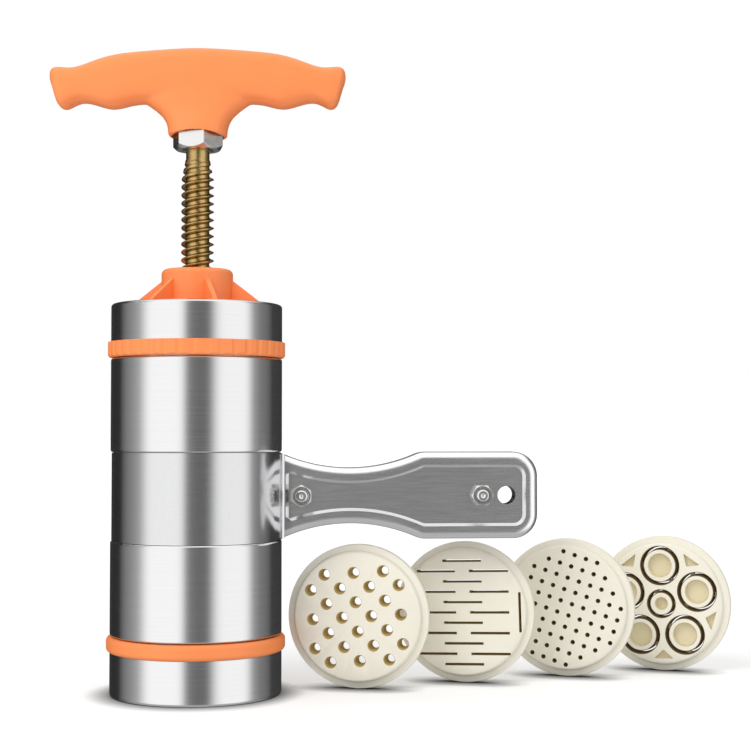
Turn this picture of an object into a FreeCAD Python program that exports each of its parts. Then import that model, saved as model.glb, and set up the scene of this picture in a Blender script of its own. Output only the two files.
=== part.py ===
# A hand pasta press. A threaded screw with a T-handle drives a piston down a steel barrel,
# and the dough leaves through a die held in the bottom cap. A stamped strap handle is
# clamped round the barrel's waist, and four spare dies stand beside the press.
#
# Millimetres. The origin is on the barrel's axis at the height of the table. +Z is up,
# +X points along the side handle and -Y is the front.
import FreeCAD, Part
import math
import os
import Sketcher
from FreeCAD import Placement, Rotation, Vector

Z_AXIS = Vector(0, 0, 1)
ORIGIN = Vector(0, 0, 0)

doc = FreeCAD.newDocument("PastaPress")
sheet = doc.addObject("Spreadsheet::Sheet", "Sizes")

# Driving dimensions: alias, value and what it sizes
SIZES = [
    # Barrel
    ("bore_radius", 37.8, "inside of the barrel liner"),
    ("liner_wall", 0.8, "sheet of the liner"),
    ("liner_length", 171.7, "liner from end to end"),
    ("shell_space", 2.2, "room between the liner and the shell"),
    ("shell_wall", 0.7, "sheet of the shell and of both sleeves"),
    ("foot_overlap", 19.5, "liner that the bottom cap takes in"),
    ("head_overlap", 18.8, "liner that the top cap takes in"),
    ("shell_roll", 1.2, "rounding of the shell's rolled ends"),
    ("waist_depth", 1.4, "how deep the waist is rolled in for the strap"),
    ("waist_gap", 0.3, "play between the strap's edges and the waist's shoulders"),
    ("cut_overrun", 1.0, "how far a cutting shape runs past what it cuts"),
    ("press_gap", 0.05, "play between pieces that are pressed or rolled together"),
    ("thread_gap", 0.4, "play where the two caps are screwed over the liner"),
    # Strap and side handle
    ("strap_sheet", 0.8, "sheet of the strap handle"),
    ("strap_height", 42.0, "height of the strap round the barrel"),
    ("handle_height", 95.5, "middle of the strap and the side handle"),
    ("lift_off_angle", 24.0, "angle from the handle at which the strap leaves the barrel"),
    ("bend_rounding", 2.4, "rounding of the bend where the strap turns into the handle"),
    ("handle_reach", 125.8, "side handle from the barrel's face to its far end"),
    ("handle_thickness", 15.5, "side handle over both rims"),
    ("panel_thickness", 10.5, "side handle over both sunk panels"),
    ("rim_flat", 6.3, "rim from the edge to where it starts to sink"),
    ("rim_width", 7.6, "rim from the edge to the flat of the panel"),
    ("rim_rounding", 4.4, "rounding of the rim's outer edge"),
    ("waist_reach", 33.1, "narrowest place of the handle, from the barrel's face"),
    ("waist_half", 13.6, "half height there"),
    ("waist_curve", 81.0, "radius of the waist's long curve"),
    ("head_half", 21.3, "half height of the side handle's head"),
    ("head_blend", 12.0, "radius between the long curve and the head"),
    ("head_corner", 12.0, "corner radius of the head"),
    ("handle_root", 0.9, "start of the side handle's own form, from the barrel's face"),
    ("root_lap", 0.3, "how far the strap's neck runs into that form"),
    ("panel_lead", 1.6, "inner edge of the sunk panel, from the barrel's face"),
    ("panel_lead_run", 1.6, "run of the slope from that edge to the flat of the panel"),
    ("near_bolt_reach", 9.2, "bolt beside the barrel, from the barrel's face"),
    ("far_bolt_inset", 28.0, "bolt in the head, from the handle's far end"),
    ("hang_hole_inset", 15.5, "hanging hole, from the handle's far end"),
    ("hang_hole_radius", 4.45, "hanging hole"),
    ("seam_gap", 0.4, "gap between the two halves of the side handle"),
    ("bolt_radius", 2.9, "clamp bolts"),
    ("bolt_clearance", 0.2, "play of the bolts in the sheet"),
    ("bolt_nut_flats", 10.0, "nuts and heads of the clamp bolts, across flats"),
    ("bolt_nut_height", 4.6, "nuts of the clamp bolts"),
    ("bolt_head_height", 3.8, "heads of the clamp bolts"),
    ("bolt_proud", 1.4, "bolt end that stands out of its nut"),
    # Top cap
    ("cap_skin_gap", 0.05, "play between a plastic cap and its steel sleeve"),
    ("knurl_proud", 1.5, "how far the fluted ring stands out of the shell"),
    ("knurl_height", 7.5, "height of the fluted ring"),
    ("knurl_rounding", 1.6, "rounding of the ring's lower edge"),
    ("flute_count", 40, "flutes round the ring"),
    ("flute_radius", 4.0, "radius of each flute"),
    ("flute_depth", 0.45, "depth of each flute"),
    ("ring_gap", 0.3, "gap between the shell and the rings of the caps"),
    ("sleeve_rise", 4.3, "how far the top sleeve stands over the cap's plate"),
    ("sleeve_rounding", 1.6, "rounding of the sleeve's rolled lip"),
    ("sleeve_lip", 3.0, "width of a sleeve's rolled-in lip"),
    ("plate_thickness", 3.0, "plate of the top cap"),
    ("seat_gap", 0.2, "gap where the top cap seats on the liner"),
    ("collar_radius", 17.4, "collar that the screw leaves by"),
    ("collar_height", 21.6, "collar over the plate"),
    ("collar_rounding", 2.5, "rounding of the collar's top edge"),
    ("collar_roof", 2.8, "plastic over the threaded insert"),
    ("rib_count", 6, "ribs round the collar"),
    ("rib_thickness", 2.2, "each rib"),
    ("rib_shoulder_height", 16.2, "where a rib leaves the collar, over the plate"),
    ("rib_knee_reach", 11.2, "knee of a rib's upper edge, from the collar"),
    ("rib_knee_height", 7.6, "knee of a rib's upper edge, over the plate"),
    ("rib_inset", 1.0, "outer foot of a rib, in from the liner's outside"),
    ("rib_root", 1.0, "how far the ribs run into the plate and the collar"),
    ("rib_turn", -73.0, "angle of the first rib"),
    ("insert_radius", 12.0, "threaded insert in the collar"),
    # Screw, lock nut and T-handle
    ("screw_radius", 8.0, "outside of the two-start thread"),
    ("screw_play", 0.1, "play between the screw and its insert"),
    ("runout_length", 9.0, "thread that runs out under the neck"),
    ("neck_radius", 5.75, "plain neck under the lock nut"),
    ("neck_length", 6.5, "plain neck under the lock nut"),
    ("stud_radius", 7.0, "upper threaded end inside the T-handle"),
    ("stud_end_gap", 0.3, "room over the end of the stud"),
    ("stud_length", 27.5, "upper threaded end with its nut"),
    ("lock_nut_flats", 22.0, "lock nut, across flats"),
    ("lock_nut_foot", 264.5, "underside of the lock nut"),
    ("lock_nut_height", 10.5, "lock nut"),
    ("lock_nut_turn", -18.0, "angle that the lock nut was tightened to"),
    ("lock_nut_chamfer", 1.1, "drop of the lock nut's chamfered corners"),
    ("lock_nut_bevel_inset", 0.3, "where the chamfer starts, in from the flats"),
    ("nut_corner_share", 1.16, "hexagon across its corners over its flats, rounded up"),
    ("hub_lift", 6.7, "underside of the T-handle's hub, over the lock nut's"),
    ("nut_recess_play", 0.15, "play of the lock nut in the hub's recess"),
    # Piston
    ("piston_rest", 67.0, "underside of the piston where the photograph shows the screw"),
    ("piston_thickness", 12.0, "piston"),
    ("piston_play", 0.4, "play between the piston and the bore"),
    ("seal_play", 0.08, "play between the seal and the bore"),
    ("seal_height", 4.0, "piston seal"),
    ("seal_depth", 2.6, "piston seal, from its outside to its inside"),
    ("seal_bevel", 0.8, "bevelled lips of the seal"),
    ("seal_foot", 3.6, "seal above the piston's underside"),
    ("boss_radius", 13.0, "boss round the screw on the piston"),
    ("boss_height", 5.0, "boss above the piston"),
    ("spigot_radius", 5.0, "turned end of the screw in the piston"),
    ("pocket_radius", 9.0, "pocket under the piston for its screw"),
    ("pocket_depth", 4.4, "pocket under the piston"),
    ("washer_radius", 8.2, "washer under the piston"),
    ("washer_thickness", 1.2, "washer under the piston"),
    ("keeper_radius", 3.0, "screw that holds the piston"),
    ("keeper_head_radius", 5.0, "its head"),
    ("keeper_head_height", 2.6, "its head"),
    ("keeper_depth", 15.0, "how far it goes into the lead screw"),
    ("keeper_hole_spare", 1.0, "depth of the tapped hole past its end"),
    ("keeper_socket", 3.5, "its socket, across flats"),
    ("turning_gap", 0.1, "play between pieces that turn on each other"),
    # Bottom cap
    ("bead_proud", 1.7, "how far the bead stands out of the shell"),
    ("bead_height", 7.5, "bead of the bottom cap"),
    ("bead_rounding", 2.2, "rounding of the bead"),
    ("outlet_play", 0.4, "play round the fitted die's raised face"),
    ("outlet_foot", 1.4, "underside of the bottom cap inside its sleeve"),
    ("ledge_thickness", 3.6, "ledge that the fitted die rests on"),
    ("liner_foot_gap", 0.3, "gap between the liner and its ledge"),
    # Dies
    ("flange_radius", 35.5, "flange of every die"),
    ("flange_thickness", 4.0, "flange of every die"),
    ("plateau_radius", 32.3, "raised face of every die"),
    ("plateau_height", 3.3, "raised face of every die"),
    ("die_play", 0.25, "play of the fitted die in its seat"),
    ("round_hole", 3.0, "radius of a round hole"),
    ("round_pitch", 14.8, "round holes in a row"),
    ("round_row", 7.2, "rows of round holes"),
    ("round_turn", 4.3, "turn of the round-hole pattern"),
    ("round_field", 27.5, "round holes lie within this radius"),
    ("slot_length", 20.0, "slots for flat noodles"),
    ("slot_width", 1.1, "slots for flat noodles"),
    ("slot_column", 13.6, "columns of slots"),
    ("slot_row", 5.2, "rows of slots"),
    ("side_slot_place", 29.0, "upright slots at the two sides"),
    ("side_slot_length", 19.0, "upright slots at the two sides"),
    ("slot_turn", 1.7, "turn of the slot pattern"),
    ("fine_hole", 1.0, "radius of a fine hole"),
    ("fine_pitch", 6.15, "fine holes"),
    ("fine_turn", -17.5, "turn of the fine-hole pattern"),
    ("fine_field", 29.9, "fine holes lie within this radius"),
    ("core_circle", 20.1, "circle of the hollow-noodle cores"),
    ("core_turn", 2.2, "turn of the five cores"),
    ("core_gap_radius", 10.1, "outside of the gap round a core"),
    ("core_radius", 8.7, "hollow-noodle core"),
    ("core_cup_radius", 6.1, "cup in a core"),
    ("core_cup_depth", 4.0, "cup in a core"),
    ("bridge_width", 2.4, "bridges that hold a core"),
    ("bridge_height", 2.6, "bridges that hold a core"),
    ("middle_gap_radius", 7.3, "outside of the gap round the middle core"),
    ("middle_core_radius", 6.1, "middle core"),
    ("middle_cup_radius", 3.2, "cup in the middle core"),
    ("pocket_tip_reach", 24.0, "inner tip of a pocket between two cores"),
    ("pocket_base_reach", 28.8, "outer side of that pocket"),
    ("pocket_base_half", 5.2, "half the length of that side"),
    ("rim_pocket_depth", 3.0, "pockets between the cores"),
    ("fitted_hole", 2.2, "radius of a hole in the fitted die"),
    ("fitted_pitch", 9.6, "holes of the fitted die"),
    ("fitted_field", 27.0, "holes of the fitted die lie within this radius"),
    # Spare dies on the table
    ("spare_gap", 3.5, "first spare die, from the barrel's face"),
    ("spare_across_step", 55.5, "from one spare die to the next, across"),
    ("spare_first_back", 10.0, "first spare die, behind the barrel's axis"),
    ("spare_back_step", 15.0, "from one spare die to the next, back"),
    ("viewer_across", 20.0, "place that the spare dies face"),
    ("viewer_front", 780.0, "place that the spare dies face"),
    ("grip_turn", 5.0, "the T-handle stands this much askew at rest"),
    ("spare_turn", 12.0, "each spare die is turned this much past that place"),
]

# T-handle, one half, as cross-sections from the middle to the tip: reach and height of the
# section's top, reach and height of its underside, half its depth. Heights are over the hub's foot.
GRIP_SECTIONS = [
    (0.0, 43.6, 0.0, 15.0, 10.4),
    (26.6, 41.9, 26.6, 15.7, 10.2),
    (36.6, 41.0, 36.6, 14.9, 10.0),
    (43.2, 39.9, 42.7, 13.8, 9.8),
    (49.8, 38.1, 49.4, 15.9, 9.5),
    (56.7, 35.6, 56.7, 17.5, 9.2),
    (62.4, 34.6, 61.2, 15.8, 9.1),
    (68.6, 35.1, 65.0, 14.1, 8.9),
    (71.6, 33.4, 67.4, 15.5, 7.6),
    (72.7, 29.5, 69.4, 18.6, 4.8),
]
# Hub of the T-handle as sections from its foot up: height, half width, half depth
HUB_SECTIONS = [
    (0.0, 13.7, 13.7),
    (3.6, 14.3, 14.2),
    (8.8, 16.6, 14.0),
    (12.8, 20.6, 12.8),
    (16.8, 26.5, 10.6),
    (21.0, 30.0, 8.6),
]
SECTION_SQUARENESS = 2.5
SECTION_POINTS = 8

# Radii and heights that follow from the sizes, as formulas over the sheet
LINER_OUTSIDE = "bore_radius + liner_wall"
SHELL_INSIDE = LINER_OUTSIDE + " + shell_space"
SHELL_OUTSIDE = SHELL_INSIDE + " + shell_wall"
CAP_INSIDE = LINER_OUTSIDE + " + thread_gap"
CAP_OUTSIDE = SHELL_INSIDE + " - cap_skin_gap"
DIE_SEAT = "outlet_foot + ledge_thickness"
LINER_SEAT = DIE_SEAT + " + flange_thickness"
LINER_FOOT = LINER_SEAT + " + liner_foot_gap"
LINER_TOP = LINER_FOOT + " + liner_length"
SHELL_FOOT = LINER_FOOT + " + foot_overlap"
SHELL_TOP = LINER_TOP + " - head_overlap"
BEAD_TOP = SHELL_FOOT + " - ring_gap"
BEAD_FOOT = BEAD_TOP + " - bead_height"
RING_FOOT = SHELL_TOP + " + ring_gap"
RING_TOP = RING_FOOT + " + knurl_height"
PLATE_FOOT = LINER_TOP + " + seat_gap"
PLATE_TOP = PLATE_FOOT + " + plate_thickness"
SLEEVE_TOP = PLATE_TOP + " + sleeve_rise"
COLLAR_TOP = PLATE_TOP + " + collar_height"
KNURL_RADIUS = SHELL_OUTSIDE + " + knurl_proud"
BEAD_RADIUS = SHELL_OUTSIDE + " + bead_proud"
OUTLET_RADIUS = "plateau_radius + outlet_play"
HANDLE_END = SHELL_OUTSIDE + " + handle_reach"
NEAR_BOLT = SHELL_OUTSIDE + " + near_bolt_reach"
FAR_BOLT = HANDLE_END + " - far_bolt_inset"
HANG_HOLE = HANDLE_END + " - hang_hole_inset"
NECK_FOOT = "lock_nut_foot - neck_length"
THREAD_END = NECK_FOOT + " - runout_length"
STUD_TOP = "lock_nut_foot + stud_length"
HUB_FOOT = "lock_nut_foot + hub_lift"
PISTON_TOP = "piston_rest + piston_thickness"
POCKET_ROOF = "piston_rest + pocket_depth"
WASHER_TOP = POCKET_ROOF + " - turning_gap"
DIE_HEIGHT = "flange_thickness + plateau_height"

for row, (alias, number, meaning) in enumerate(SIZES, start=1):
    sheet.set("A%d" % row, str(number))
    sheet.setAlias("A%d" % row, alias)
    sheet.set("B%d" % row, meaning)
doc.recompute()


def size(formula):
    """The value of a formula over the sheet, in which each alias stands by its own name."""
    return float(sheet.evalExpression(formula))


def bound(formula):
    """The same formula as an object of the document reads it, with each alias led by the sheet."""
    words = formula.replace("(", "( ").replace(")", " )").split()
    aliases = {alias for alias, number, meaning in SIZES}
    return " ".join("Sizes." + word if word in aliases else word for word in words)


def new_body(label):
    body = doc.addObject("PartDesign::Body", label)
    body.Label = label
    return body


def new_sketch(body, role, name):
    """A sketch on one of the body's own origin planes."""
    sketch = body.newObject("Sketcher::SketchObject", name)
    plane = [feature for feature in body.Origin.OriginFeatures if feature.Role == role][0]
    sketch.AttachmentSupport = [(plane, "")]
    sketch.MapMode = "FlatFace"
    return sketch


def draw_outline(sketch, corners):
    """A closed outline of straight lines whose corners are each tied to two formulas."""
    places = [Vector(size(across), size(up), 0) for across, up in corners]
    count = len(places)
    for index, place in enumerate(places):
        sketch.addGeometry(Part.LineSegment(place, places[(index + 1) % count]), False)
    for index in range(count):
        sketch.addConstraint(Sketcher.Constraint("Coincident", index, 2, (index + 1) % count, 1))
    for index, place in enumerate(places):
        for kind, number, formula in (
            ("DistanceX", place.x, corners[index][0]),
            ("DistanceY", place.y, corners[index][1]),
        ):
            row = sketch.addConstraint(Sketcher.Constraint(kind, -1, 1, index, 1, number))
            sketch.setExpression("Constraints[%d]" % row, bound(formula))


def revolve(body, corners):
    """Turn an outline of radius and height round the body's Z axis."""
    sketch = new_sketch(body, "XZ_Plane", body.Name + "Profile")
    draw_outline(sketch, corners)
    turned = body.newObject("PartDesign::Revolution", body.Name + "Turned")
    turned.Profile = sketch
    turned.ReferenceAxis = (sketch, ["V_Axis"])
    turned.Angle = 360
    doc.recompute()
    return turned


def round_circles(body, rounding, circles):
    """Round the circular edges that lie at the given radii and heights."""
    base = body.Tip
    wanted = [(size(radius), size(height)) for radius, height in circles]
    names = []
    for number, edge in enumerate(base.Shape.Edges, start=1):
        if not isinstance(edge.Curve, Part.Circle):
            continue
        for radius, height in wanted:
            same_radius = abs(edge.Curve.Radius - radius) < 1e-4
            if same_radius and abs(edge.Curve.Center.z - height) < 1e-4:
                names.append("Edge%d" % number)
    fillet = body.newObject("PartDesign::Fillet", body.Name + "Rounding")
    fillet.Base = (base, names)
    fillet.setExpression("Radius", bound(rounding))
    doc.recompute()
    return fillet


def turned_piece(label, corners, rounding=None, circles=()):
    body = new_body(label)
    revolve(body, corners)
    if circles:
        round_circles(body, rounding, circles)
    return body


def cut_through(body, sketch, depth, name):
    """Cut a sketch on the body's foot plane upwards through it."""
    pocket = body.newObject("PartDesign::Pocket", name)
    pocket.Profile = sketch
    pocket.setExpression("Length", bound(depth))
    pocket.Reversed = True
    doc.recompute()
    return pocket


def polar_pattern(body, feature, count):
    """Repeat a feature round the body's Z axis and make the pattern its tip."""
    pattern = body.newObject("PartDesign::PolarPattern", feature.Name + "Round")
    axis = [item for item in body.Origin.OriginFeatures if item.Role == "Z_Axis"][0]
    pattern.Originals = [feature]
    pattern.Axis = (axis, [""])
    pattern.Angle = 360
    pattern.setExpression("Occurrences", bound(count))
    body.Tip = pattern
    doc.recompute()
    return pattern


def new_feature(label, shape, placement=None):
    """A piece whose shape is worked out from the sheet by the geometry functions below."""
    feature = doc.addObject("Part::Feature", label)
    feature.Label = label
    feature.Shape = shape
    if placement is not None:
        feature.Placement = placement
    return feature


# Barrel: a plain liner that the piston runs in, and a rolled outer shell with a waist
def make_liner():
    return turned_piece("barrel_liner", [
        ("bore_radius", LINER_FOOT),
        (LINER_OUTSIDE, LINER_FOOT),
        (LINER_OUTSIDE, LINER_TOP),
        ("bore_radius", LINER_TOP),
    ])


def make_shell():
    """One sheet from end to end: both ends are rolled in to the liner, and the waist is sunk."""
    hem = LINER_OUTSIDE + " + press_gap"
    waist_outside = SHELL_OUTSIDE + " - waist_depth"
    waist_inside = SHELL_INSIDE + " - waist_depth"
    waist_foot = "handle_height - strap_height / 2 - waist_gap"
    waist_top = "handle_height + strap_height / 2 + waist_gap"
    return turned_piece("barrel_shell", [
        (hem, SHELL_FOOT),
        (SHELL_OUTSIDE, SHELL_FOOT),
        (SHELL_OUTSIDE, waist_foot),
        (waist_outside, waist_foot),
        (waist_outside, waist_top),
        (SHELL_OUTSIDE, waist_top),
        (SHELL_OUTSIDE, SHELL_TOP),
        (hem, SHELL_TOP),
        (hem, SHELL_TOP + " - shell_wall"),
        (SHELL_INSIDE, SHELL_TOP + " - shell_wall"),
        (SHELL_INSIDE, waist_top + " + shell_wall"),
        (waist_inside, waist_top + " + shell_wall"),
        (waist_inside, waist_foot + " - shell_wall"),
        (SHELL_INSIDE, waist_foot + " - shell_wall"),
        (SHELL_INSIDE, SHELL_FOOT + " + shell_wall"),
        (hem, SHELL_FOOT + " + shell_wall"),
    ], "shell_roll", [
        (SHELL_OUTSIDE, SHELL_FOOT),
        (SHELL_OUTSIDE, waist_foot),
        (SHELL_OUTSIDE, waist_top),
        (SHELL_OUTSIDE, SHELL_TOP),
    ])


# Strap handle: one stamped sheet. It is an outer form less the same form one sheet thickness in.
def handle_outline(inset, start):
    """Side view of the handle, moved in by inset, from start to the far end, at Y = 0."""
    middle = size("handle_height")
    waist = size("waist_curve") + inset
    waist_centre = size("waist_half") + size("waist_curve")
    blend = size("head_blend") - inset
    head = size("head_half") - inset
    blend_centre = size("head_half") - size("head_blend")
    drop = waist_centre - blend_centre
    waist_place = size(SHELL_OUTSIDE + " + waist_reach")
    blend_place = waist_place + math.sqrt((waist + blend) ** 2 - drop ** 2)
    share = waist / (waist + blend)
    meet = (
        waist_place + share * (blend_place - waist_place),
        waist_centre - share * drop,
    )
    corner = size("head_corner") - inset
    end = size(HANDLE_END) - inset
    slant = corner * (1 - math.sqrt(0.5))

    def on_waist(across):
        return waist_centre - math.sqrt(waist ** 2 - (across - waist_place) ** 2)

    def on_blend(across):
        return blend_centre + math.sqrt(blend ** 2 - (across - blend_place) ** 2)

    def side(sign):
        def at(across, up):
            return Vector(across, 0, middle + sign * up)

        waist_middle = (start + meet[0]) / 2
        blend_middle = (blend_place + meet[0]) / 2
        return [
            Part.Arc(at(start, on_waist(start)), at(waist_middle, on_waist(waist_middle)), at(*meet)),
            Part.Arc(at(*meet), at(blend_middle, on_blend(blend_middle)), at(blend_place, head)),
            Part.LineSegment(at(blend_place, head), at(end - corner, head)),
            Part.Arc(at(end - corner, head), at(end - slant, head - slant), at(end, head - corner)),
        ]

    upper = side(1)
    lower = side(-1)
    sides = upper + lower
    sides.append(Part.LineSegment(upper[-1].EndPoint, lower[-1].EndPoint))
    sides.append(Part.LineSegment(lower[0].StartPoint, upper[0].StartPoint))
    return Part.Wire(Part.__sortEdges__([line.toShape() for line in sides]))


def moved_to(wire, depth):
    """A copy of a side-view wire moved to another depth."""
    copy = wire.copy()
    copy.translate(Vector(0, depth, 0))
    return copy


def handle_form(skin, start):
    """The handle without its strap: rounded rims round a sunk panel on both faces."""
    half = size("handle_thickness") / 2 - skin
    floor = size("panel_thickness") / 2 - skin
    face = Part.Face(moved_to(handle_outline(skin, start), -half))
    form = face.extrude(Vector(0, 2 * half, 0))
    rims = [
        edge for edge in form.Edges
        if abs(abs(edge.CenterOfMass.y) - half) < 1e-4 and edge.CenterOfMass.x > start + 0.01
    ]
    form = form.makeFillet(size("rim_rounding") - skin, rims)
    panel_start = size(SHELL_OUTSIDE + " + panel_lead") - skin
    over = size("cut_overrun")
    share = over / (half - floor)
    slope = size("rim_width") - size("rim_flat")
    lead_run = size("panel_lead_run")
    steps = [
        (size("rim_flat") - skin - slope * share, half + over, -lead_run * share),
        (size("rim_width") - skin, floor, lead_run),
    ]
    for sign in (-1, 1):
        wires = [
            moved_to(handle_outline(inset, panel_start + lead), sign * depth)
            for inset, depth, lead in steps
        ]
        form = form.cut(Part.makeLoft(wires, True, True))
    return form


def strap_form(skin, over, end):
    """The strap's form as far as end: a ring whose neck follows the handle's side view."""
    radius = size(SHELL_OUTSIDE + " - waist_depth + press_gap + strap_sheet") - skin
    half = size("handle_thickness") / 2 - skin
    angle = math.radians(size("lift_off_angle"))
    leave = Vector(radius * math.cos(angle), radius * math.sin(angle), 0)
    run = (leave.y - half) / math.cos(angle)
    bend = Vector(leave.x + run * math.sin(angle), half, 0)
    corners = [leave, bend, Vector(2 * radius, half, 0)]
    corners += [Vector(corner.x, -corner.y, 0) for corner in reversed(corners)]
    height = size("strap_height") + 2 * over
    neck = Part.Face(Part.makePolygon(corners + corners[:1])).extrude(Vector(0, 0, height))
    form = Part.makeCylinder(radius, height).fuse(neck).removeSplitter()
    bends = [
        edge for edge in form.Edges
        if abs(edge.CenterOfMass.x - bend.x) < 0.01 and abs(abs(edge.CenterOfMass.y) - half) < 0.01
    ]
    form = form.makeFillet(size("bend_rounding") + skin, bends)
    foot = size("handle_height") - height / 2
    form.translate(Vector(0, 0, foot))
    rise = size("waist_half + waist_curve") - size("strap_height") / 2
    waist_place = size(SHELL_OUTSIDE + " + waist_reach")
    root = waist_place - math.sqrt(size("waist_curve") ** 2 - rise ** 2) + skin
    past = radius + size("cut_overrun")
    ring_room = Part.makeBox(past + root, 2 * past, height, Vector(-past, -past, foot))
    side = Part.Face(moved_to(handle_outline(skin, root), -radius)).extrude(Vector(0, 2 * radius, 0))
    neck_room = side.common(Part.makeBox(end, 2 * radius, height, Vector(0, -radius, foot)))
    return form.common(ring_room.fuse(neck_room))


def make_strap_handle():
    skin = size("strap_sheet")
    start = size(SHELL_OUTSIDE + " + handle_root")
    neck_end = size(SHELL_OUTSIDE + " + handle_root + root_lap")
    over = size("cut_overrun")
    outer = strap_form(0, 0, neck_end).fuse(handle_form(0, start))
    strap = outer.cut(strap_form(skin, over, neck_end)).cut(handle_form(skin, start))
    seam = size("seam_gap")
    far = size(HANDLE_END)
    low = size("handle_height - head_half") - over
    slit_height = 2 * (size("head_half") + over)
    slit = Part.makeBox(far, seam, slit_height, Vector(size("bore_radius"), -seam / 2, low))
    strap = strap.cut(slit)
    middle = size("handle_height")
    deep = size("handle_thickness")
    hole = size("bolt_radius + bolt_clearance")
    for place, radius in (
        (size(NEAR_BOLT), hole),
        (size(FAR_BOLT), hole),
        (size(HANG_HOLE), size("hang_hole_radius")),
    ):
        drill = Part.makeCylinder(radius, 2 * deep, Vector(place, -deep, middle), Vector(0, 1, 0))
        strap = strap.cut(drill)
    return new_feature("strap_handle", strap.removeSplitter())


def hexagon(flats, height, turn=0.0):
    """A hexagonal prism on the XY plane."""
    radius = flats / math.sqrt(3)
    corners = [
        Vector(radius * math.cos(math.radians(turn + 60 * index)),
               radius * math.sin(math.radians(turn + 60 * index)), 0)
        for index in range(7)
    ]
    return Part.Face(Part.makePolygon(corners)).extrude(Vector(0, 0, height))


def make_handle_bolts():
    """Two bolts through both panels, heads at the back and ends at the front."""
    half = size("panel_thickness") / 2
    proud = size("bolt_nut_height + bolt_proud")
    bolts = []
    for place in (size(NEAR_BOLT), size(FAR_BOLT)):
        shank = Part.makeCylinder(size("bolt_radius"), 2 * half + proud)
        head = hexagon(size("bolt_nut_flats"), size("bolt_head_height"))
        head.translate(Vector(0, 0, -size("bolt_head_height")))
        bolt = shank.fuse(head)
        bolt.Placement = Placement(
            Vector(place, half, size("handle_height")), Rotation(Vector(1, 0, 0), 90))
        bolts.append(bolt)
    return new_feature("handle_bolts", Part.makeCompound(bolts))


def make_handle_nuts():
    """The bolts' nuts on the front panel, each left at the angle that it was tightened to."""
    half = size("panel_thickness") / 2
    nuts = []
    for place, turn in ((size(NEAR_BOLT), 30), (size(FAR_BOLT), 0)):
        nut = hexagon(size("bolt_nut_flats"), size("bolt_nut_height"), turn)
        nut = nut.cut(Part.makeCylinder(size("bolt_radius + press_gap"), size("bolt_nut_height")))
        nut.Placement = Placement(
            Vector(place, -half, size("handle_height")), Rotation(Vector(1, 0, 0), 90))
        nuts.append(nut)
    return new_feature("handle_nuts", Part.makeCompound(nuts))


# Top cap: a plastic moulding that screws over the liner, with a steel sleeve
def make_top_cap():
    body = new_body("top_cap")
    revolve(body, [
        (CAP_INSIDE, RING_FOOT),
        (KNURL_RADIUS, RING_FOOT),
        (KNURL_RADIUS, RING_TOP),
        (CAP_OUTSIDE, RING_TOP),
        (CAP_OUTSIDE, PLATE_TOP),
        ("collar_radius", PLATE_TOP),
        ("collar_radius", COLLAR_TOP),
        ("screw_radius + 4 * screw_play", COLLAR_TOP),
        ("screw_radius + 4 * screw_play", COLLAR_TOP + " - collar_roof"),
        ("insert_radius", COLLAR_TOP + " - collar_roof"),
        ("insert_radius", PLATE_FOOT),
        (CAP_INSIDE, PLATE_FOOT),
    ])
    round_circles(body, "collar_rounding", [("collar_radius", COLLAR_TOP)])
    round_circles(body, "knurl_rounding", [(KNURL_RADIUS, RING_FOOT)])
    rib_sketch = new_sketch(body, "XZ_Plane", "RibProfile")
    draw_outline(rib_sketch, [
        ("collar_radius - rib_root", PLATE_TOP + " - rib_root"),
        (LINER_OUTSIDE + " - rib_inset", PLATE_TOP + " - rib_root"),
        (LINER_OUTSIDE + " - rib_inset", PLATE_TOP),
        ("collar_radius + rib_knee_reach", PLATE_TOP + " + rib_knee_height"),
        ("collar_radius", PLATE_TOP + " + rib_shoulder_height"),
        ("collar_radius - rib_root", PLATE_TOP + " + rib_shoulder_height"),
    ])
    rib = body.newObject("PartDesign::Pad", "Rib")
    rib.Profile = rib_sketch
    rib.setExpression("Length", bound("rib_thickness"))
    rib.Midplane = True
    doc.recompute()
    polar_pattern(body, rib, "rib_count")
    flute_sketch = new_sketch(body, "XY_Plane", "FluteProfile")
    flute_centre = KNURL_RADIUS + " + flute_radius - flute_depth"
    centre = size(flute_centre)
    flute_sketch.addGeometry(Part.Circle(Vector(centre, 0, 0), Z_AXIS, size("flute_radius")), False)
    for kind, first, formula in (
        ("Radius", (0,), "flute_radius"),
        ("DistanceX", (-1, 1, 0, 3), flute_centre),
        ("DistanceY", (-1, 1, 0, 3), "0"),
    ):
        row = flute_sketch.addConstraint(Sketcher.Constraint(kind, *first, size(formula)))
        if formula != "0":
            flute_sketch.setExpression("Constraints[%d]" % row, bound(formula))
    flute = cut_through(body, flute_sketch, RING_TOP, "Flute")
    polar_pattern(body, flute, "flute_count")
    body.Placement = Placement(ORIGIN, Rotation(Z_AXIS, size("rib_turn")))
    return body


def make_top_sleeve():
    lip = SHELL_OUTSIDE + " - sleeve_lip"
    return turned_piece("top_cap_sleeve", [
        (SHELL_INSIDE, RING_TOP + " + press_gap"),
        (SHELL_OUTSIDE, RING_TOP + " + press_gap"),
        (SHELL_OUTSIDE, SLEEVE_TOP),
        (lip, SLEEVE_TOP),
        (lip, SLEEVE_TOP + " - shell_wall"),
        (SHELL_INSIDE, SLEEVE_TOP + " - shell_wall"),
    ], "sleeve_rounding", [(SHELL_OUTSIDE, SLEEVE_TOP)])


def make_screw_insert():
    """Threaded bush moulded into the collar."""
    bore = "screw_radius + screw_play"
    outside = "insert_radius - press_gap"
    return turned_piece("screw_insert", [
        (bore, PLATE_FOOT),
        (outside, PLATE_FOOT),
        (outside, COLLAR_TOP + " - collar_roof - press_gap"),
        (bore, COLLAR_TOP + " - collar_roof - press_gap"),
    ])


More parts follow.
